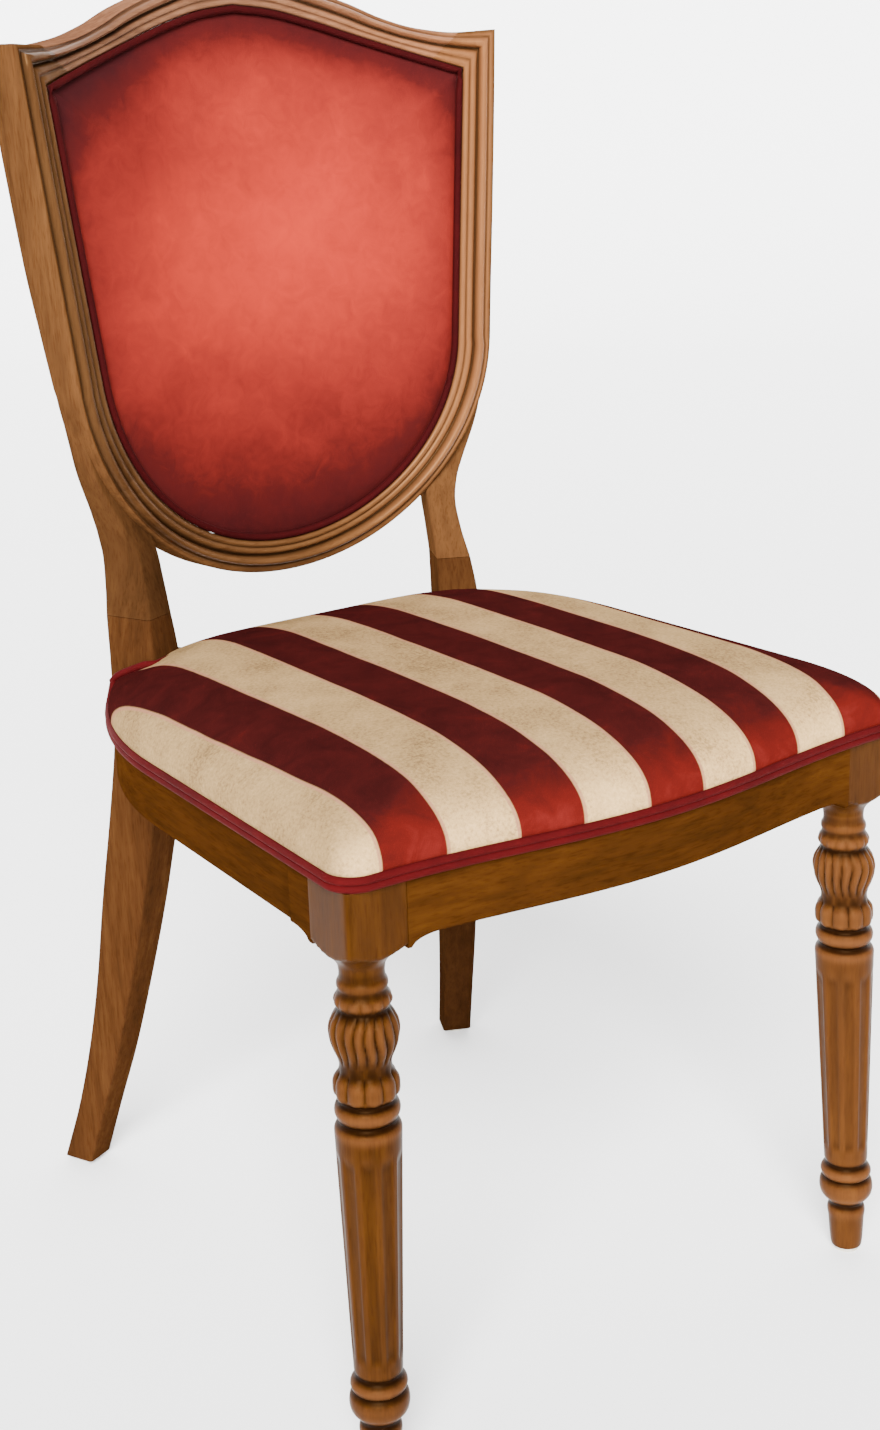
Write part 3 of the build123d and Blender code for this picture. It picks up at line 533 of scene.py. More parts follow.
# Carving of the legs: heights, counts round the leg and relief
shaft_span = (90.0, 264.0)
crown_span = (293.0, 316.0)
bulb_span = (320.0, 358.0)
bead_span = (360.0, 369.0)
flute_count = 10
flute_depth = 1.3
flute_width = 0.66
reed_count = 18
reed_height = 2.6
reed_sink = 1.9
reed_bend = 0.35
reed_wander = 0.3
leaf_count = 10
leaf_height = 2.4
leaf_sink = 1.1
leaf_notch = 0.12
bead_count = 14
bead_height = 1.0
bead_sink = 0.6


def flute_relief(angle, share):
    """Hollow flutes of the shaft, which run out at both ends."""
    ends = smooth_step(0.02, 0.07, share) * (1 - smooth_step(0.90, 0.96, share))
    turn = abs(((angle * flute_count / (2 * pi)) % 1.0) - 0.5) * 2
    return -flute_depth * ends * sqrt(max(0.0, 1 - (turn / flute_width) ** 2))


def reed_relief(angle, share):
    """Upright wavy reeds of the bulb."""
    bend = reed_bend * sin(2.2 * pi * share) + reed_wander * sin(3 * angle + 4 * share)
    reed = abs(sin(reed_count / 2 * angle + bend)) ** 0.8
    return sin(pi * share) ** 0.7 * (reed_height * reed - reed_sink)


def leaf_relief(angle, share):
    """Crown of leaves below the bulb."""
    leaf = abs(cos(leaf_count / 2 * angle))
    notch = leaf_notch * (1 - leaf)
    edge = smooth_step(notch, notch + leaf_notch, share)
    return edge * (1 - smooth_step(0.7, 1.0, share)) * (leaf_height * leaf**0.7 - leaf_sink)


def bead_relief(angle, share):
    """String of beads above the bulb."""
    return bead_height * sin(pi * share) * (abs(sin(bead_count / 2 * angle)) - bead_sink)


carvings = (
    (shaft_span, flute_relief), (bulb_span, reed_relief), (crown_span, leaf_relief), (bead_span, bead_relief))


def leg_radius(angle, z):
    """Radius of the carved leg below the block."""
    radius = curve_through(leg_profile, z)
    for (low, high), relief in carvings:
        if low < z < high:
            radius += relief(angle, (z - low) / (high - low))
    return radius


cove_flare = 1.5
cove_power = 1.8


def head_radius(angle, z):
    """Radius of the square head, whose lower corners run into the round."""
    power = 18.0
    square = block_half / (abs(cos(angle)) ** power + abs(sin(angle)) ** power) ** (1 / power)
    share = min((z - block_bottom) / block_cove, 1.0)
    neck = leg_neck[-1][1]
    cove = neck + (cove_flare * block_half - neck) * share**cove_power
    return min(square, cove)


leg_sides = 160
leg_step = 1.3
block_gap = 0.5
leg_heights = []
while glide_height + leg_step * len(leg_heights) < block_bottom - block_gap:
    leg_heights.append(glide_height + leg_step * len(leg_heights))
head_step = 1.5
head_steps = 15
head_heights = [block_bottom + head_step * k for k in range(head_steps)] + [418.0, 436.0, seat_rail_top]

# Dark glaze in the hollows and a painted highlight on the ridges, by how far a place lies below or above its
# neighbours
up_steps = (-6, -4, -2, 2, 4, 6)
round_steps = (-4, -2, 2, 4)
hollow_glaze = 0.9
most_glaze = 0.9
ridge_painted_highlight = 0.10
most_painted_highlight = 0.14
# Painted light: the right-hand leg is made paler all over
right_leg_painted_light = 0.05


def leg_shape():
    """Right-hand front leg as (places, faces), with the glazing and the painted highlight of its carved part.
    """
    angles = [2 * pi * i / leg_sides for i in range(leg_sides)]
    carved_rows = [[leg_radius(angle, z) for angle in angles] for z in leg_heights]
    head_rows = [[head_radius(angle, z) for angle in angles] for z in head_heights]
    rings = []
    for z, row in zip(leg_heights + head_heights, carved_rows + head_rows):
        drop = max(0.0, block_bottom - z)
        x = front_leg_x + drop * tan(radians(front_leg_splay))
        y = front_leg_y - drop * tan(radians(front_leg_rake))
        rings.append([(x + r * cos(angle), y + r * sin(angle), z) for angle, r in zip(angles, row)])
    glaze_and_shade = []
    painted_light = []
    last = len(carved_rows) - 1
    for j, row in enumerate(carved_rows):
        for i, r in enumerate(row):
            near = [carved_rows[min(max(j + step, 0), last)][i] for step in up_steps]
            near += [row[(i + step) % leg_sides] for step in round_steps]
            sunk = sum(near) / len(near) - r
            glaze_and_shade.append(min(max(sunk * hollow_glaze, 0.0), most_glaze))
            painted_light.append(min(max(-sunk * ridge_painted_highlight, 0.0), most_painted_highlight))
    return skin(rings), glaze_and_shade, painted_light


right_leg, carved_glaze, carved_painted_highlight = leg_shape()
head_plain = [0.0] * (len(head_heights) * leg_sides)
for side, shape in both_sides(right_leg):
    leg = make_object(f"turned_front_leg_{side}", *shape, sharp=55.0)
    # The right-hand leg gets its painted light on top of the painted highlight of the ridges
    painted_paler = right_leg_painted_light if side == "right" else 0.0
    set_values(leg, "glaze_and_shade", carved_glaze + head_plain)
    set_values(leg, "painted_light", [painted_light + painted_paler for painted_light in carved_painted_highlight] + head_plain)
    dress(leg, turned_wood, "lacquered_wood", f"front_leg_{side}")

# Rear legs and the stiles above them: turned boards, edges as (height, place along or across the board)
rear_front = [
    (glide_height, 116.5), (60.0, 97.0), (120.0, 75.5), (200.0, 51.5), (268.0, 33.0), (306.0, 24.0),
    (360.0, 12.0), (411.0, 3.5), (seat_rail_top, 0.0), (480.0, 0.5), (500.0, 2.5), (post_shoulder, 7.0)]
rear_back = [
    (glide_height, 146.5), (66.0, 123.5), (130.0, 105.0), (192.0, 91.0), (270.0, 77.0), (347.0, 61.5),
    (384.0, 54.5), (411.0, 50.0), (seat_rail_top, 46.0), (490.0, 47.5), (post_shoulder, 52.0)]
rear_outer = [(glide_height, 0.0), (seat_rail_top, 0.0), (475.0, 0.8), (500.0, 3.2), (post_shoulder, 7.5)]
rear_inner = [(glide_height, 28.0), (405.0, 38.0), (post_shoulder, 38.0)]
stile_top = 790.0
stile_recess = 6.0
stile_front = [
    (post_shoulder, 7.0), (552.0, 13.6), (578.0, 21.0), (608.0, 29.0 + stile_recess * 0.5),
    (640.0, 32.0 + stile_recess), (754.0, 40.5 + stile_recess), (stile_top, 43.5 + stile_recess)]
stile_back = [
    (post_shoulder, 52.0), (560.0, 57.0), (591.0, 60.0), (625.0, 58.5), (657.0, 58.5), (690.0, 60.5),
    (721.0, 65.0), (752.0, 69.3), (stile_top, 74.0)]
stile_outer = [
    (post_shoulder, 7.5), (552.0, 14.0), (575.0, 17.0), (591.0, 14.5), (610.0, 7.5), (625.0, 1.0),
    (640.0, -5.0), (657.0, -10.0), (690.0, -15.5), (721.0, -18.5), (754.0, -20.5), (stile_top, -21.0)]
stile_inner = [(post_shoulder, 38.0), (552.0, 40.5), (578.0, 43.0), (640.0, 40.0), (stile_top, 0.0)]


def board_rings(front, back, outer, inner, heights, round_edge):
    """Rings of a turned board whose four edges are curves over the height."""
    rings = []
    for z in heights:
        near = curve_through(front, z)
        far = curve_through(back, z)
        out = curve_through(outer, z)
        inn = curve_through(inner, z)
        ring = []
        for across_step, along_step in rounded_box((inn - out) / 2, (far - near) / 2, round_edge):
            place = post_point((near + far) / 2 + along_step, (out + inn) / 2 + across_step)
            ring.append((place.x, place.y, z))
        rings.append(ring)
    return rings


board_edge = 2.6
shoulder_gap = 0.4
rear_leg_steps = 72
# Painted shadow: the right-hand rear leg is darkened below the seat
rear_painted_shadow = 0.45
rear_painted_shadow_span = (390.0, 470.0)
rear_heights = steps_between(glide_height, post_shoulder - shoulder_gap, rear_leg_steps)
right_rear_leg = skin(board_rings(rear_front, rear_back, rear_outer, rear_inner, rear_heights, board_edge))
for side, shape in both_sides(right_rear_leg):
    leg = make_object(f"sabre_rear_leg_{side}", *shape, sharp=50.0)
    painted_darker = rear_painted_shadow if side == "right" else 0.0
    set_values(leg, "glaze_and_shade", [painted_darker * (1 - smooth_step(*rear_painted_shadow_span, z)) for x, y, z in shape[0]])
    dress(leg, rear_leg_wood, "lacquered_wood", f"rear_leg_{side}")


# Shield back: a moulded ring between the panel's outline and the outer outline
def hollow_point(x, z, forward):
    """Place on the hollow front of the back, moved forward."""
    lean = asin(x / back_radius)
    y = back_front_y + back_slope * (z - back_level) - back_radius * (1 - cos(lean))
    return x - forward * sin(lean), y - forward * cos(lean), z


corner_rise = shield_corner_z - shield_center
tangent_angle = degrees(
    atan2(corner_rise, shield_corner_x) - acos(shield_radius / hypot(shield_corner_x, corner_rise)))
outer_reach = [(-90.0, 200.0), (-72.0, 200.0), (-50.0, 199.2), (-25.0, 198.4), (tangent_angle, 198.0)]
outer_side = [(714.0, 197.2), (754.0, 200.6), (832.0, 207.6), (914.0, 214.4), (ear_top, ear_x)]
inner_top = [
    (0.0, shield_peak), (30.0, 992.0), (67.0, 982.6), (104.0, 970.2), (150.0, 954.6),
    (shield_corner_x, shield_corner_z)]
outer_top = [
    (0.0, crest_peak), (34.0, 1017.6), (76.0, 1005.0), (105.0, 994.5), (130.0, 983.0), (160.0, 973.5),
    (190.0, 969.6), (ear_x, ear_top)]
ring_depth = [(700.0, 26.0), (752.0, 29.5), (813.0, 32.5), (900.0, 33.0), (ear_top, 31.0)]
bottom_count = 44
flank_count = 24
top_count = 40
side_width = 27.4
top_width = 25.6
width_blend = (0.0, 0.4)
depth_blend = (0.05, 0.45)


def way_at(angle):
    """Way from the shield's middle at an angle in degrees."""
    return Vector((cos(radians(angle)), sin(radians(angle))))


def shield_pairs():
    """Right half of the shield from the bottom to the peak: inner point, outer point, width and depth."""
    pairs = []
    middle = Vector((0, shield_center))
    for k in range(bottom_count):
        angle = -90.0 + (tangent_angle + 90.0) * k / bottom_count
        reach = curve_through(outer_reach, angle)
        inner = middle + way_at(angle) * shield_radius
        outer = middle + way_at(angle) * reach
        pairs.append((inner, outer, reach - shield_radius, frame_thickness))
    inner_start = middle + way_at(tangent_angle) * shield_radius
    outer_start = (middle + way_at(tangent_angle) * outer_reach[-1][1]).y
    inner_end = Vector((shield_corner_x, shield_corner_z))
    for k in range(flank_count):
        share = k / flank_count
        z = outer_start + (ear_top - outer_start) * share
        outer = Vector((curve_through(outer_side, z), z))
        pairs.append((inner_start.lerp(inner_end, share), outer, side_width, curve_through(ring_depth, z)))
    ear_depth = ring_depth[-1][1]
    for k in range(top_count + 1):
        share = k / top_count
        x = shield_corner_x * (1 - share)
        outer_x = ear_x * (1 - share)
        inner = Vector((x, curve_through(inner_top, x)))
        outer = Vector((outer_x, curve_through(outer_top, outer_x)))
        width = side_width + (top_width - side_width) * smooth_step(*width_blend, share)
        depth = ear_depth + (frame_thickness - ear_depth) * smooth_step(*depth_blend, share)
        pairs.append((inner, outer, width, depth))
    return pairs


shield_right = shield_pairs()
shield_left = [(Vector((-a.x, a.y)), Vector((-b.x, b.y)), w, d) for a, b, w, d in shield_right]

# Moulding of its face: (millimetres out from the panel, height above the hollow, share of darkening: a
# painted shadow in the gap beside the piping and dark glaze in the grooves)
moulding = [
    (0.0, -9.0, 0.8), (0.3, -1.4, 0.6), (1.2, 0.6, 0.1), (3.0, 1.6, 0.0), (4.8, 1.3, 0.0), (5.8, 0.0, 0.45),
    (6.5, -0.3, 0.55), (7.3, 0.6, 0.1), (9.0, 1.0, 0.0), (10.8, 0.4, 0.05), (12.2, -1.6, 0.5),
    (13.2, -3.4, 0.85), (14.0, -3.2, 0.85), (14.6, -0.4, 0.3), (15.8, 2.8, 0.0), (18.0, 4.4, 0.0),
    (20.2, 3.2, 0.0), (21.4, 0.4, 0.2), (22.0, -1.4, 0.7), (22.8, -1.8, 0.6), (24.0, -1.2, 0.1)]

# Rest of its section: (step from the outer edge or the panel, height above the hollow or the rear face)
outer_edge = [(-1.4, -1.0), (-0.6, -1.6), (0.0, -3.0)]
rear_edge = [(0.0, 2.4), (-0.8, 0.6), (-2.6, 0.0)]
rear_rim = [(1.5, 0.0), (0.2, 0.8), (0.0, 4.0)]


def moulding_ring(pair):
    """Section of the shield's frame at one place of its outline."""
    inner, outer, width, depth = pair

    def spot(out, height):
        place = inner.lerp(outer, out / width)
        return hollow_point(place.x, place.y, height)

    ring = [spot(out, height) for out, height, glaze_and_shade in moulding]
    ring += [spot(width + step, height) for step, height in outer_edge]
    ring.append(spot(width, -depth / 2))
    ring += [spot(width + step, rise - depth) for step, rise in rear_edge]
    ring += [spot(out, rise - depth) for out, rise in rear_rim]
    return ring


plain_count = len(moulding_ring(shield_right[0])) - len(moulding)
moulding_glaze = [glaze_and_shade for out, height, glaze_and_shade in moulding] + [0.0] * plain_count
moulding_polish = [1.0] * len(moulding) + [0.0] * plain_count
ear_count = 5
crest_start = bottom_count + flank_count + ear_count
rail_stop = 30
# Painted light on the right of the back's moulded face and painted shade on its left
face_painted_light = 0.34
face_painted_light_span = (0.0, 210.0)
face_painted_shade = 0.34
face_painted_shade_span = (20.0, 170.0)
# Painted shade on the left-hand stile, darkening towards its foot
stile_painted_shade = 0.42
stile_painted_shade_span = (540.0, 740.0)
stile_steps = 56


def frame_shape(pairs):
    """(places, faces), glazing and painted shade, and polish of a run of the shield's frame."""
    count = len(pairs)
    return skin([moulding_ring(pair) for pair in pairs]), moulding_glaze * count, moulding_polish * count


def dress_moulding(piece, woods, glaze_and_shade, polish, *nodes):
    """Dull wood with a polished face, given painted light towards the right of the back and painted shade to
    the left.
    """
    dull_wood, face_wood = woods
    dress(piece, dull_wood, "lacquered_wood", *nodes)
    across_back = [vertex.co.x / MM for vertex in piece.data.vertices]
    painted_light = [face_painted_light * p * smooth_step(*face_painted_light_span, x) for p, x in zip(polish, across_back)]
    dark = [face_painted_shade * p * smooth_step(*face_painted_shade_span, -x) for p, x in zip(polish, across_back)]
    set_values(piece, "painted_light", painted_light)
    set_values(piece, "glaze_and_shade", [g + (1 - g) * d for g, d in zip(glaze_and_shade, dark)])
    piece.data.materials.append(face_wood)
    for face in piece.data.polygons:
        face.material_index = int(all(polish[i] > 0 for i in face.vertices))


low_run = list(reversed(shield_left[:rail_stop + 1])) + shield_right[1:rail_stop + 1]
top_run = shield_right[crest_start:] + list(reversed(shield_left[crest_start:-1]))
moulded_rails = (
    ("shield_lower_rail", low_run, low_rail_woods, ("shield_rail", "shield_rail_dowels")),
    ("crest_moulding", top_run, crest_woods, ("crest_rail", "crest_dowels")))
for name, run, woods, nodes in moulded_rails:
    shape, glaze_and_shade, polish = frame_shape(run)
    rail = make_object(name, *shape, sharp=65.0)
    dress_moulding(rail, woods, glaze_and_shade, polish, *nodes)

stile_heights = steps_between(post_shoulder, stile_top, stile_steps)
stile_post = skin(board_rings(stile_front, stile_back, stile_outer, stile_inner, stile_heights, board_edge))
stile_ring, ring_glaze, ring_polish = frame_shape(shield_right[rail_stop:crest_start + 1])
stile_polish = ring_polish + [0.0] * len(stile_post[0])
for side, shape in both_sides(joined(stile_ring, stile_post)):
    stile = make_object(f"moulded_stile_{side}", *shape, sharp=65.0)
    # Only the left-hand stile gets the painted shade
    painted_darker = 0.0 if side == "right" else stile_painted_shade
    post_painted_shade = [painted_darker * (1 - smooth_step(*stile_painted_shade_span, z)) for x, y, z in stile_post[0]]
    dress_moulding(stile, upright_woods, ring_glaze + post_painted_shade, stile_polish, f"back_stile_{side}")

# Velvet pad, its piping and the cloth on the outside of the back
shield_loop = [pair[0] for pair in shield_right] + [pair[0] for pair in reversed(shield_left[1:-1])]
pad_middle = Vector((0, 790.0))

# Light on the velvet: its middle, how far it reaches each way, and the darker corner and edge
pad_light = Vector((8, 805.0))
light_right = 290.0
light_left = 270.0
light_above = 230.0
light_below = 185.0
dim_pile = 0.10
lit_pile = 0.70
corner_shade = 0.20
corner_left_span = (20.0, 180.0)
corner_up_span = (820.0, 950.0)
edge_share_span = (0.0, 0.34)
edge_shade = 0.10
top_edge_shade = 0.22
top_edge_span = (850.0, 950.0)


def inward(loop, distance):
    """A loop of points drawn in square to itself."""
    count = len(loop)
    drawn = []
    for i, place in enumerate(loop):
        way = (loop[(i + 1) % count] - loop[i - 1]).normalized()
        drawn.append(place + Vector((-way.y, way.x)) * distance)
    return drawn


def pile_light(spot, share):
    """How light the velvet looks at a place of the back."""
    wide = (spot.x - pad_light.x) / (light_right if spot.x > pad_light.x else light_left)
    tall = (spot.y - pad_light.y) / (light_above if spot.y > pad_light.y else light_below)
    lit = dim_pile + lit_pile * exp(-wide * wide - tall * tall)
    corner = smooth_step(*corner_left_span, -spot.x) * smooth_step(*corner_up_span, spot.y)
    edge = edge_shade + top_edge_shade * smooth_step(*top_edge_span, spot.y)
    edge *= 1 - smooth_step(*edge_share_span, share)
    return min(max(lit - corner_shade * corner - edge, 0.0), 1.0)


pad_steps = 36
crown_power = 3.2
ring_power = 1.3
ring_close = 0.97
crease_height = 0.8
crease_scale = 0.02
crease_layer = 3.0
outside_recess = 3.0


def velvet_pad(name, loop, start, rise, edge, face):
    """Crowned pad, drawn in by start; face is 1 for the front of the back and -1 for its outside."""
    base = inward(loop, start)
    rings = []
    painted_pile_light = []
    for share in steps_between(0.0, 1.0, pad_steps):
        height = edge + (rise - edge) * (1 - (1 - share) ** crown_power)
        ring = []
        for place in base:
            spot = place.lerp(pad_middle, ring_close * share**ring_power)
            cloth = Vector((spot.x * crease_scale, spot.y * crease_scale, crease_layer))
            crease = crease_height * noise.noise(cloth)
            forward = height + crease if face > 0 else outside_recess - frame_thickness - height
            ring.append(hollow_point(spot.x, spot.y, forward))
            # Painted light on the velvet, set by the place on the back
            painted_pile_light.append(pile_light(spot, share))
        rings.append(ring)
    places, faces = skin(rings, start_cap=False)
    if face < 0:
        faces = [tuple(reversed(corners)) for corners in faces]
    pad = make_object(name, places, faces, sharp=80.0)
    set_values(pad, "painted_pile_light", painted_pile_light)
    return pad


def cord(path, radius, lift=0.0, sides=12):
    """(places, faces) of a closed round cord along places, lifted square to them."""
    count = len(path)
    rings = []
    for i in range(count):
        place = Vector(path[i])
        way = (Vector(path[(i + 1) % count]) - Vector(path[i - 1])).normalized()
        guide = Vector((0, 0, 1)) if abs(way.z) < 0.95 else Vector((0, 1, 0))
        aside = way.cross(guide).normalized()
        top = aside.cross(way)
        ring = []
        for k in range(sides):
            angle = 2 * pi * k / sides
            ring.append(place + top * lift + (aside * cos(angle) + top * sin(angle)) * radius)
        rings.append(ring)
    rings.append(rings[0])
    return skin(rings, start_cap=False, end_cap=False)


back_pad = velvet_pad("velvet_back_pad", shield_loop, start=4.0, rise=11.0, edge=-3.0, face=1)
dress(back_pad, back_velvet, "red_velvet", "back_cover", "back_foam")

piping_radius = 2.9
piping_inset = 2.6
piping_height = 0.4
piping_pile = 0.26
piping_path = [hollow_point(p.x, p.y, piping_height) for p in inward(shield_loop, piping_inset)]
piping = make_object("back_piping_cord", *cord(piping_path, piping_radius), sharp=80.0)
set_values(piping, "painted_pile_light", [piping_pile] * len(piping.data.vertices))
dress(piping, welt_velvet, "red_welt", "back_piping")

outside = velvet_pad("outside_back_cloth", shield_loop, start=0.5, rise=5.0, edge=0.5, face=-1)
dress(outside, back_velvet, "outside_cloth", "outside_back")

# Seat rails
edge_round = 2.4
front_rail_steps = 160
bracket_steps = 14
bracket_gap = 1.0
post_entry = 10.0


def bracket_fall(distance):
    """How far a rail's lower edge drops beside a leg block."""
    share = min(max(distance / bracket_length, 0.0), 1.0)
    return bracket_drop * (1 - sqrt(1 - (1 - share) ** 2))


def rail_shape(path, fall):
    """Rail along a stretch of the seat's outline; fall gives the drop of its lower edge."""
    rings = []
    for i, place in enumerate(path):
        way = (path[min(i + 1, len(path) - 1)] - path[max(i - 1, 0)]).normalized()
        inwards = Vector((-way.y, way.x))
        low = rail_bottom - fall(place)
        ring = []
        for step_in, step_up in rounded_box(rail_thickness / 2, (seat_rail_top - low) / 2, edge_round):
            spot = place + inwards * (rail_thickness / 2 + step_in)
            ring.append((spot.x, spot.y, (low + seat_rail_top) / 2 + step_up))
        rings.append(ring)
    return skin(rings)


front_rail_half = front_leg_x - block_half
front_start = seat_half_width - seat_corner_radius
front_path = []
for x in steps_between(-front_rail_half - joint_lap, front_rail_half + joint_lap, front_rail_steps):
    swell = 0.5 * (1 + cos(pi * min(abs(x) / front_start, 1.0)))
    front_path.append(Vector((x, seat_front - front_bow * swell)))
front_shape = rail_shape(front_path, lambda place: bracket_fall(front_rail_half - abs(place.x)))
front_rail = make_object("bowed_front_rail", *front_shape, sharp=50.0)
dress(front_rail, rail_cross, "lacquered_wood", "front_rail")

block_back = front_leg_y + block_half
side_first = front_steps + corner_steps
side_line = seat_outline(0)[side_first:side_first + side_steps + bend_steps + 1]
bracket_end = block_back + bracket_length
bracket_places = steps_between(block_back - joint_lap, bracket_end, bracket_steps)
side_path = [Vector((side_line[0].x, y)) for y in bracket_places]
side_path += [p for p in side_line if p.y > bracket_end + bracket_gap]
side_path.append(side_path[-1] + across * post_entry)
right_side_rail = rail_shape(side_path, lambda place: bracket_fall(place.y - block_back))
for side, shape in both_sides(right_side_rail):
    rail = make_object(f"curved_side_rail_{side}", *shape, sharp=50.0)
    dress(rail, rail_back, "lacquered_wood", f"side_rail_{side}")

# Domed seat
seat_middle = Vector((0, -40.0))
ring_limit = 112.0
edge_steps = 46
edge_power = 2.2
middle_steps = 16
middle_close = 0.96
dip_middle = post_point(30.0, 2.0)
dip_reach = 48.0
seat_reach = 40.0
# Hem under the welt: (inset, drop below the welt's top)
seat_hem = ((2.0, 6.0), (-0.5, 2.0))
# Painted light on the seat's cloth: dim on its top and lighter on the front roll
flat_painted_light = 0.24
roll_painted_light = 0.36
roll_span = (0.1, 1.0)


def dome_height(inset):
    """Height of the dome above the welt's top at an inset from its edge."""
    share = min((inset + pad_bulge) / pad_reach, 1.0)
    return pad_crown * (1 - (1 - share) ** dome_power) ** (1 / dome_power)


def tucked(spot):
    """A plan place of the seat, kept off the back of the posts."""
    side = copysign(1.0, spot.x)
    right_hand = Vector((abs(spot.x), spot.y))
    past = max((right_hand - post_origin).dot(along) - seat_reach, 0.0)
    right_hand -= along * past
    return Vector((side * right_hand.x, right_hand.y))


def seat_place(spot, height):
    """A place on the seat; it lies lower near the posts."""
    spot = tucked(spot)
    from_post = (Vector((abs(spot.x), spot.y)) - dip_middle).length
    dip = post_dip * exp(-(from_post / dip_reach) ** 2) * height / pad_crown
    return spot.x, spot.y, welt_top + height - dip


def seat_shape():
    """(places, faces) of the domed seat."""
    rings = []
    for inset, drop in seat_hem:
        rings.append([(p.x, p.y, welt_top - drop) for p in map(tucked, seat_outline(inset))])
    for j in range(1, edge_steps + 1):
        inset = -pad_bulge + (j / edge_steps) ** edge_power * (ring_limit + pad_bulge)
        rings.append([seat_place(p, dome_height(inset)) for p in seat_outline(inset)])
    base = seat_outline(ring_limit)
    for j in range(1, middle_steps + 1):
        share = j / middle_steps
        height = dome_height(ring_limit + (pad_reach - ring_limit) * share)
        rings.append([seat_place(p.lerp(seat_middle, middle_close * share), height) for p in base])
    return skin(rings)


seat = make_object("striped_seat", *seat_shape(), sharp=80.0)
# Painted light by the way the cloth faces: the front roll, facing forward, is lighter
seat_painted_light = []
for vertex in seat.data.vertices:
    roll = smooth_step(*roll_span, -vertex.normal.y)
    seat_painted_light.append(flat_painted_light + roll_painted_light * roll)
set_values(seat, "painted_pile_light", seat_painted_light)
dress(seat, striped_cloth, "striped_cloth", "seat_cover", "seat_foam")

# Double welt round the seat, which climbs along the faces of the posts
welt_radius = 2.9
welt_offset = 0.9 * welt_radius
welt_level = welt_top - 3.8
welt_rise = 33.0
welt_gap = 2.2
welt_pile = 0.42
rear_welt_gap = 1.0
rear_welt_steps = 12
level_rounds = 16
climb_lead = 2
front_run = seat_outline(-pad_bulge)[:front_steps + corner_steps + side_steps + bend_steps - climb_lead]
# Places of the welt on the outer, front and inner face of a post
outer_depths = (post_depth - 4.0, 36.0, 30.0, 24.0, 18.0, 12.0, 6.0, 1.0)
front_insets = (1.0, 8.0, 16.0, 24.0, 32.0, post_width - 1.0)
inner_depths = (1.0, 8.0, 16.0, 24.0)
rear_start = post_point(post_depth / 2 + 12.0, post_width + 10.0)


def inside(loop, spot):
    """Whether a plan spot lies inside a closed loop."""
    crossings = 0
    for p, q in zip(loop, loop[1:] + loop[:1]):
        crosses = (p.y > spot.y) != (q.y > spot.y)
        if crosses and spot.x < p.x + (q.x - p.x) * (spot.y - p.y) / (q.y - p.y):
            crossings += 1
    return crossings % 2 == 1


def seat_level(spot):
    """Height of the seat's surface over a plan spot."""
    low = -pad_bulge
    high = ring_limit
    for turn in range(level_rounds):
        middle = (low + high) / 2
        if inside(seat_outline(middle), spot):
            low = middle
        else:
            high = middle
    return seat_place(spot, dome_height(low))[2]


def welt_climb():
    """The welt's places from the end of the right side rail round the post to the middle of the rear."""
    turns = [(depth, -welt_gap) for depth in outer_depths]
    turns += [(-welt_gap, inset) for inset in front_insets]
    turns += [(depth, post_width + welt_gap) for depth in inner_depths]
    places = []
    for depth, inset in turns:
        spot = post_point(depth, inset)
        limit = welt_level + welt_rise * sqrt(1 - (max(depth, 0.0) / post_depth) ** 2)
        places.append(Vector((spot.x, spot.y, max(welt_level, min(limit, seat_level(spot))))))
    for x in steps_between(rear_start.x, 0.0, rear_welt_steps):
        places.append(Vector((x, seat_rear + rear_welt_gap, welt_level)))
    return places


def smoothed(path, rounds):
    """An open path with its corners cut, its ends kept."""
    for turn in range(rounds):
        cut = [path[0]]
        for a, b in zip(path, path[1:]):
            cut.append(a.lerp(b, 0.25))
            cut.append(a.lerp(b, 0.75))
        cut.append(path[-1])
        path = cut
    return path


welt_half = [Vector((p.x, p.y, welt_level)) for p in front_run] + smoothed(welt_climb(), rounds=2)
welt_path = welt_half + [Vector((-p.x, p.y, p.z)) for p in reversed(welt_half[1:-1])]
upper_cord = cord(welt_path, welt_radius, lift=welt_offset)
lower_cord = cord(welt_path, welt_radius, lift=-welt_offset)
welt = make_object("seat_welt_cord", *joined(upper_cord, lower_cord), sharp=80.0)
set_values(welt, "painted_pile_light", [welt_pile] * len(welt.data.vertices))
dress(welt, welt_velvet, "red_welt", "seat_welt")

# Dust cover under the seat, a cloth pulled tight
cover_inset = 25.0
cover_sag = 3.0
cover_gap = 0.6
cover_shares = (1.0, 0.8, 0.6, 0.4, 0.2, 0.02)
cover_loop = seat_outline(cover_inset)
cover_rings = []
for share in cover_shares:
    level = seat_rail_top - cover_gap - cover_sag * (1 - share**2)
    cover_rings.append([
        (p.x * share, seat_middle.y + (p.y - seat_middle.y) * share, level) for p in cover_loop])
cover = make_object("dust_cover_cloth", *skin(cover_rings, start_cap=False), sharp=80.0)
dress(cover, dust_cloth, "dust_cloth", "dust_cover")

# CAD nodes that stay as they are get their finish
for node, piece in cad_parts.items():
    if "dowel" in node or "corner_block" in node or node in ("seat_board", "back_panel"):
        material = pale_wood
    elif "glide" in node:
        material = nylon
    elif "screw" in node:
        material = steel
    else:
        material = rail_cross
    if not piece.material_slots:
        piece.data.materials.append(material)
    for slot in piece.material_slots:
        slot.material = material

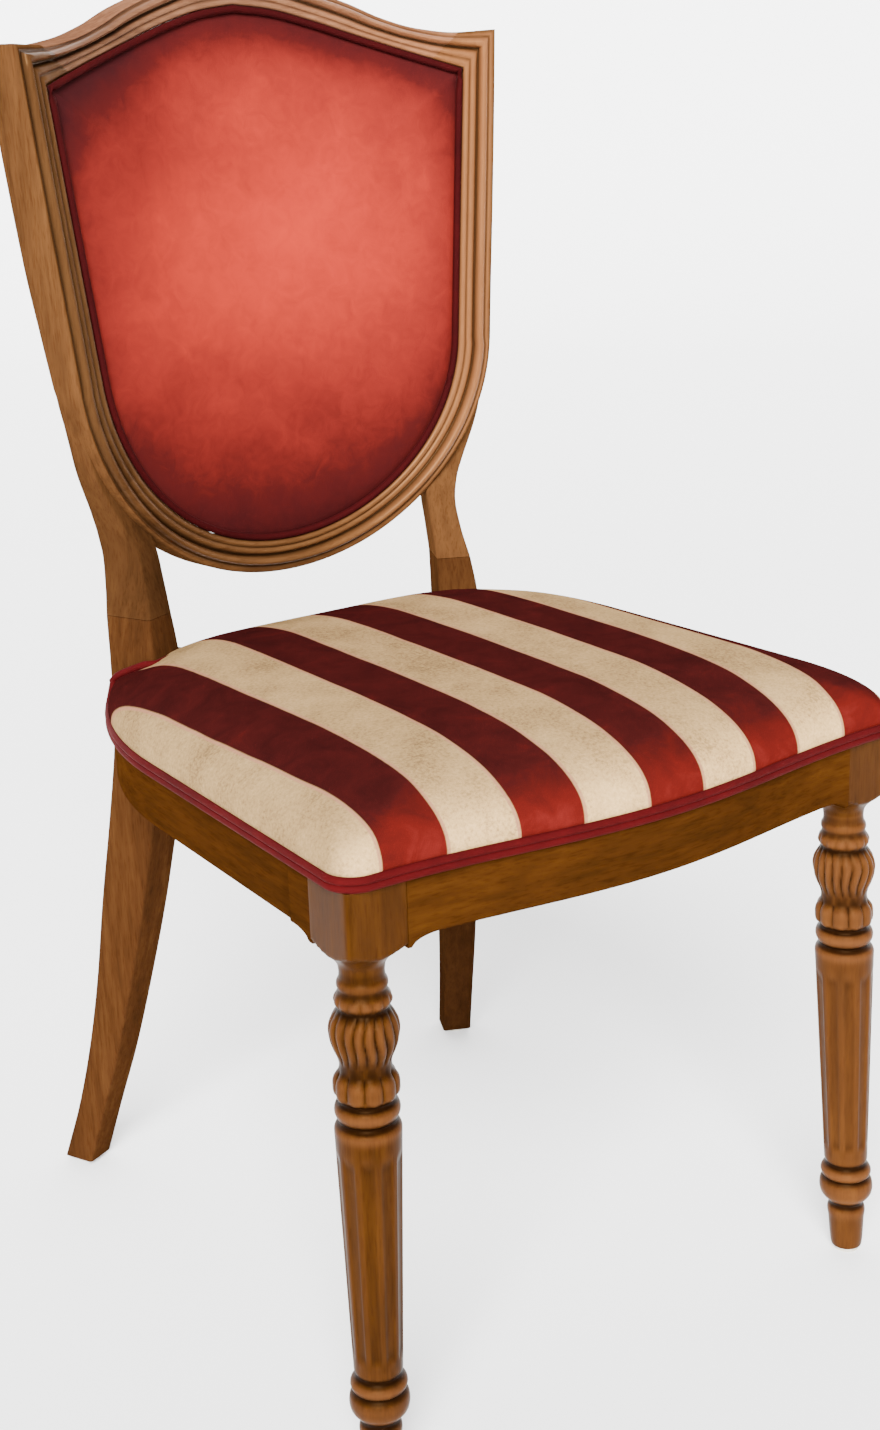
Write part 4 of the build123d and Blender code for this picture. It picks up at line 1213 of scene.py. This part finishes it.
# Camera at the photograph's place
focal_px = 2044.54
frame_long_px = 1430.0
camera_place = Vector((-871.33, -1283.36, 964.70)) * MM
yaw = radians(34.507)
pitch = radians(18.293)
roll = radians(1.854)
forward = Vector((sin(yaw) * cos(pitch), cos(yaw) * cos(pitch), -sin(pitch)))
level_right = Vector((cos(yaw), -sin(yaw), 0.0))
level_down = forward.cross(level_right)
image_right = level_right * cos(roll) + level_down * sin(roll)
image_down = level_down * cos(roll) - level_right * sin(roll)
camera_data = bpy.data.cameras.new("camera")
camera_data.sensor_width = 36.0
camera_data.lens = camera_data.sensor_width * focal_px / frame_long_px
camera = bpy.data.objects.new("camera", camera_data)
facing = Matrix((image_right, -image_down, -forward)).transposed()
camera.matrix_world = Matrix.Translation(camera_place) @ facing.to_4x4()
bpy.context.scene.collection.objects.link(camera)
bpy.context.scene.camera = camera

# Pale floor and soft light
floor_reach = 16000.0
floor_depth = 5000.0
cove_radius = 2500.0
wall_top = 12000.0
cove_steps = 24
floor_section = [(-floor_reach, 0.0), (floor_depth, 0.0)]
for angle in steps_between(0.0, pi / 2, cove_steps):
    floor_section.append((floor_depth + cove_radius * sin(angle), cove_radius * (1 - cos(angle))))
floor_section.append((floor_depth + cove_radius, wall_top))
floor_places = []
for reach in (floor_reach, -floor_reach):
    for away, z in floor_section:
        floor_places.append((
            away * sin(yaw) + reach * cos(yaw), away * cos(yaw) - reach * sin(yaw), z))
floor_count = len(floor_section)
floor_faces = [(i, i + 1, floor_count + i + 1, floor_count + i) for i in range(floor_count - 1)]
floor = make_object("floor", floor_places, floor_faces)
floor_nodes = Nodes("floor")
floor_nodes.set(Base_Color=(0.96, 0.96, 0.96, 1.0), Roughness=0.9, Specular_IOR_Level=0.1)
floor.data.materials.append(floor_nodes.material)

sky_strength = 0.9
world = bpy.data.worlds.new("studio")
world.use_nodes = True
background = world.node_tree.nodes["Background"]
background.inputs["Color"].default_value = (1.0, 1.0, 1.0, 1.0)
background.inputs["Strength"].default_value = sky_strength
bpy.context.scene.world = world

key_way = Vector((0.55, 0.66, -0.55))
key_data = bpy.data.lights.new("key", "SUN")
key_data.energy = 14.0
key_data.angle = radians(35.0)
key = bpy.data.objects.new("key", key_data)
key.rotation_euler = key_way.to_track_quat("-Z", "Y").to_euler()
bpy.context.scene.collection.objects.link(key)
